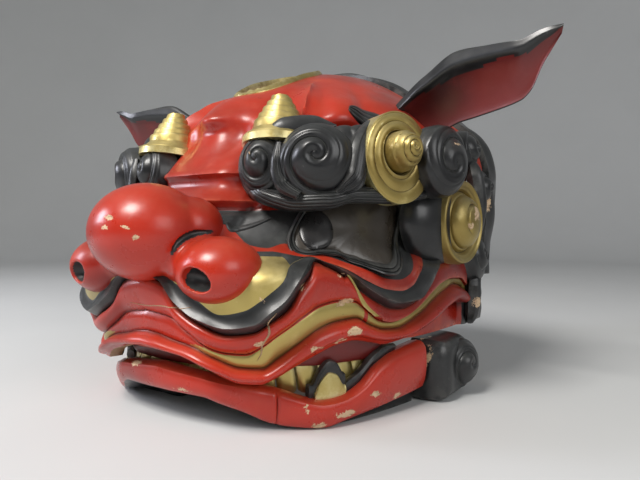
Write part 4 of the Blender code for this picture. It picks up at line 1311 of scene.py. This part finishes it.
def stage():
    """A plain pale floor that curves up all round into a low wall."""
    flat, bend, wall, sectors = 2.2, 0.8, 2.4, 72
    rings = [(1.2, 0.0), (flat, 0.0)]
    for a in np.linspace(0.1, math.pi / 2, 14):
        rings.append((flat + bend * math.sin(a), bend - bend * math.cos(a)))
    rings.append((flat + bend, wall))
    work = bmesh.new()
    rows = []
    for r, z in rings:
        angles = (2 * math.pi * k / sectors for k in range(sectors))
        rows.append([work.verts.new((r * math.cos(a), r * math.sin(a), z)) for a in angles])
    work.faces.new(rows[0])
    for low, high in zip(rows, rows[1:]):
        for k in range(sectors):
            work.faces.new((low[k], high[k], high[(k + 1) % sectors], low[(k + 1) % sectors]))
    mesh = bpy.data.meshes.new("backdrop")
    work.to_mesh(mesh)
    work.free()
    mesh.shade_smooth()
    floor = bpy.data.objects.new("backdrop", mesh)
    bpy.context.scene.collection.objects.link(floor)
    n = Nodes("backdrop_paper")
    paper = n.mix(n.noise(3, 3), (0.62, 0.63, 0.63), (0.68, 0.69, 0.69))
    mesh.materials.append(n.done(Base_Color=paper, Roughness=0.85))


def light(name, place, target, size, power, colour=(1, 1, 1)):
    """A rectangular lamp turned to its target."""
    data = bpy.data.lights.new(name, "AREA")
    data.shape = "RECTANGLE"
    data.size, data.size_y = size
    data.energy = power
    data.color = colour
    made = bpy.data.objects.new(name, data)
    made.location = place
    made.rotation_euler = (Vector(target) - Vector(place)).to_track_quat("-Z", "Y").to_euler()
    bpy.context.scene.collection.objects.link(made)


def studio():
    """Three soft lights and a dim pale sky."""
    light("key", (-0.15, -1.1, 1.5), (0, 0, 0.12), (0.6, 0.6), 30, (1, 0.97, 0.93))
    light("window", (-1.3, -0.9, 0.75), (0, 0, 0.13), (0.35, 0.5), 10, (0.86, 0.88, 1))
    light("fill", (1.4, -0.5, 0.8), (0, 0, 0.15), (0.8, 0.8), 6)
    world = bpy.data.worlds.new("studio")
    bpy.context.scene.world = world
    world.use_nodes = True
    sky = world.node_tree.nodes["Background"].inputs
    sky["Color"].default_value = (0.78, 0.8, 0.82, 1)
    sky["Strength"].default_value = 0.22
    bpy.context.scene.view_settings.view_transform = "Standard"


def camera():
    """The photograph's view: level, from the lion's front left."""
    data = bpy.data.cameras.new("camera")
    data.lens, data.sensor_width = 29.25, 36
    data.shift_y = -0.0125
    made = bpy.data.objects.new("camera", data)
    made.location = (0.295, -0.352, 0.134)
    made.rotation_euler = (math.pi / 2, 0, math.radians(32.75))
    bpy.context.scene.collection.objects.link(made)
    bpy.context.scene.camera = made


camera()
studio()
stage()
head_tree = tree_of(head_skin().data)
crown_ornament(head_tree)
for name, line, *form in (
    ("muzzle_crack", [(96, 84), (92, 77), (92.5, 71), (89, 62), (88.5, 56), (86, 51)], 1.9, 0.7, WOOD),
    ("muzzle_scratch", [(-12, 85), (4, 84), (19, 85), (33, 84.5), (46, 86)], 1.0, 0.4, WOOD),
    ("bridge_line", [(44, 141), (54, 136), (66, 138), (80, 144)], 4.5, 1.2, BLACK, 1),
    ("brow_crest", [(124, 231), (142, 226), (162, 219), (182, 210), (196, 200), (206, 188)], 22, 3, BLACK, 4),
):
    ribbon(name, head_tree, line, *form)
nose()
brow_body()
brow_curls()
brow_cone()
brow_fan()
eye()
temple()
hair()
rear_band()
ear()
upper_gum()
upper_teeth()
jaw_body()
jaw_gums()
jaw_curl()
for pin in ("jaw_pin_left", "jaw_pin_right"):
    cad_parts[pin].data.materials.clear()
    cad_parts[pin].data.materials.append(WOOD)
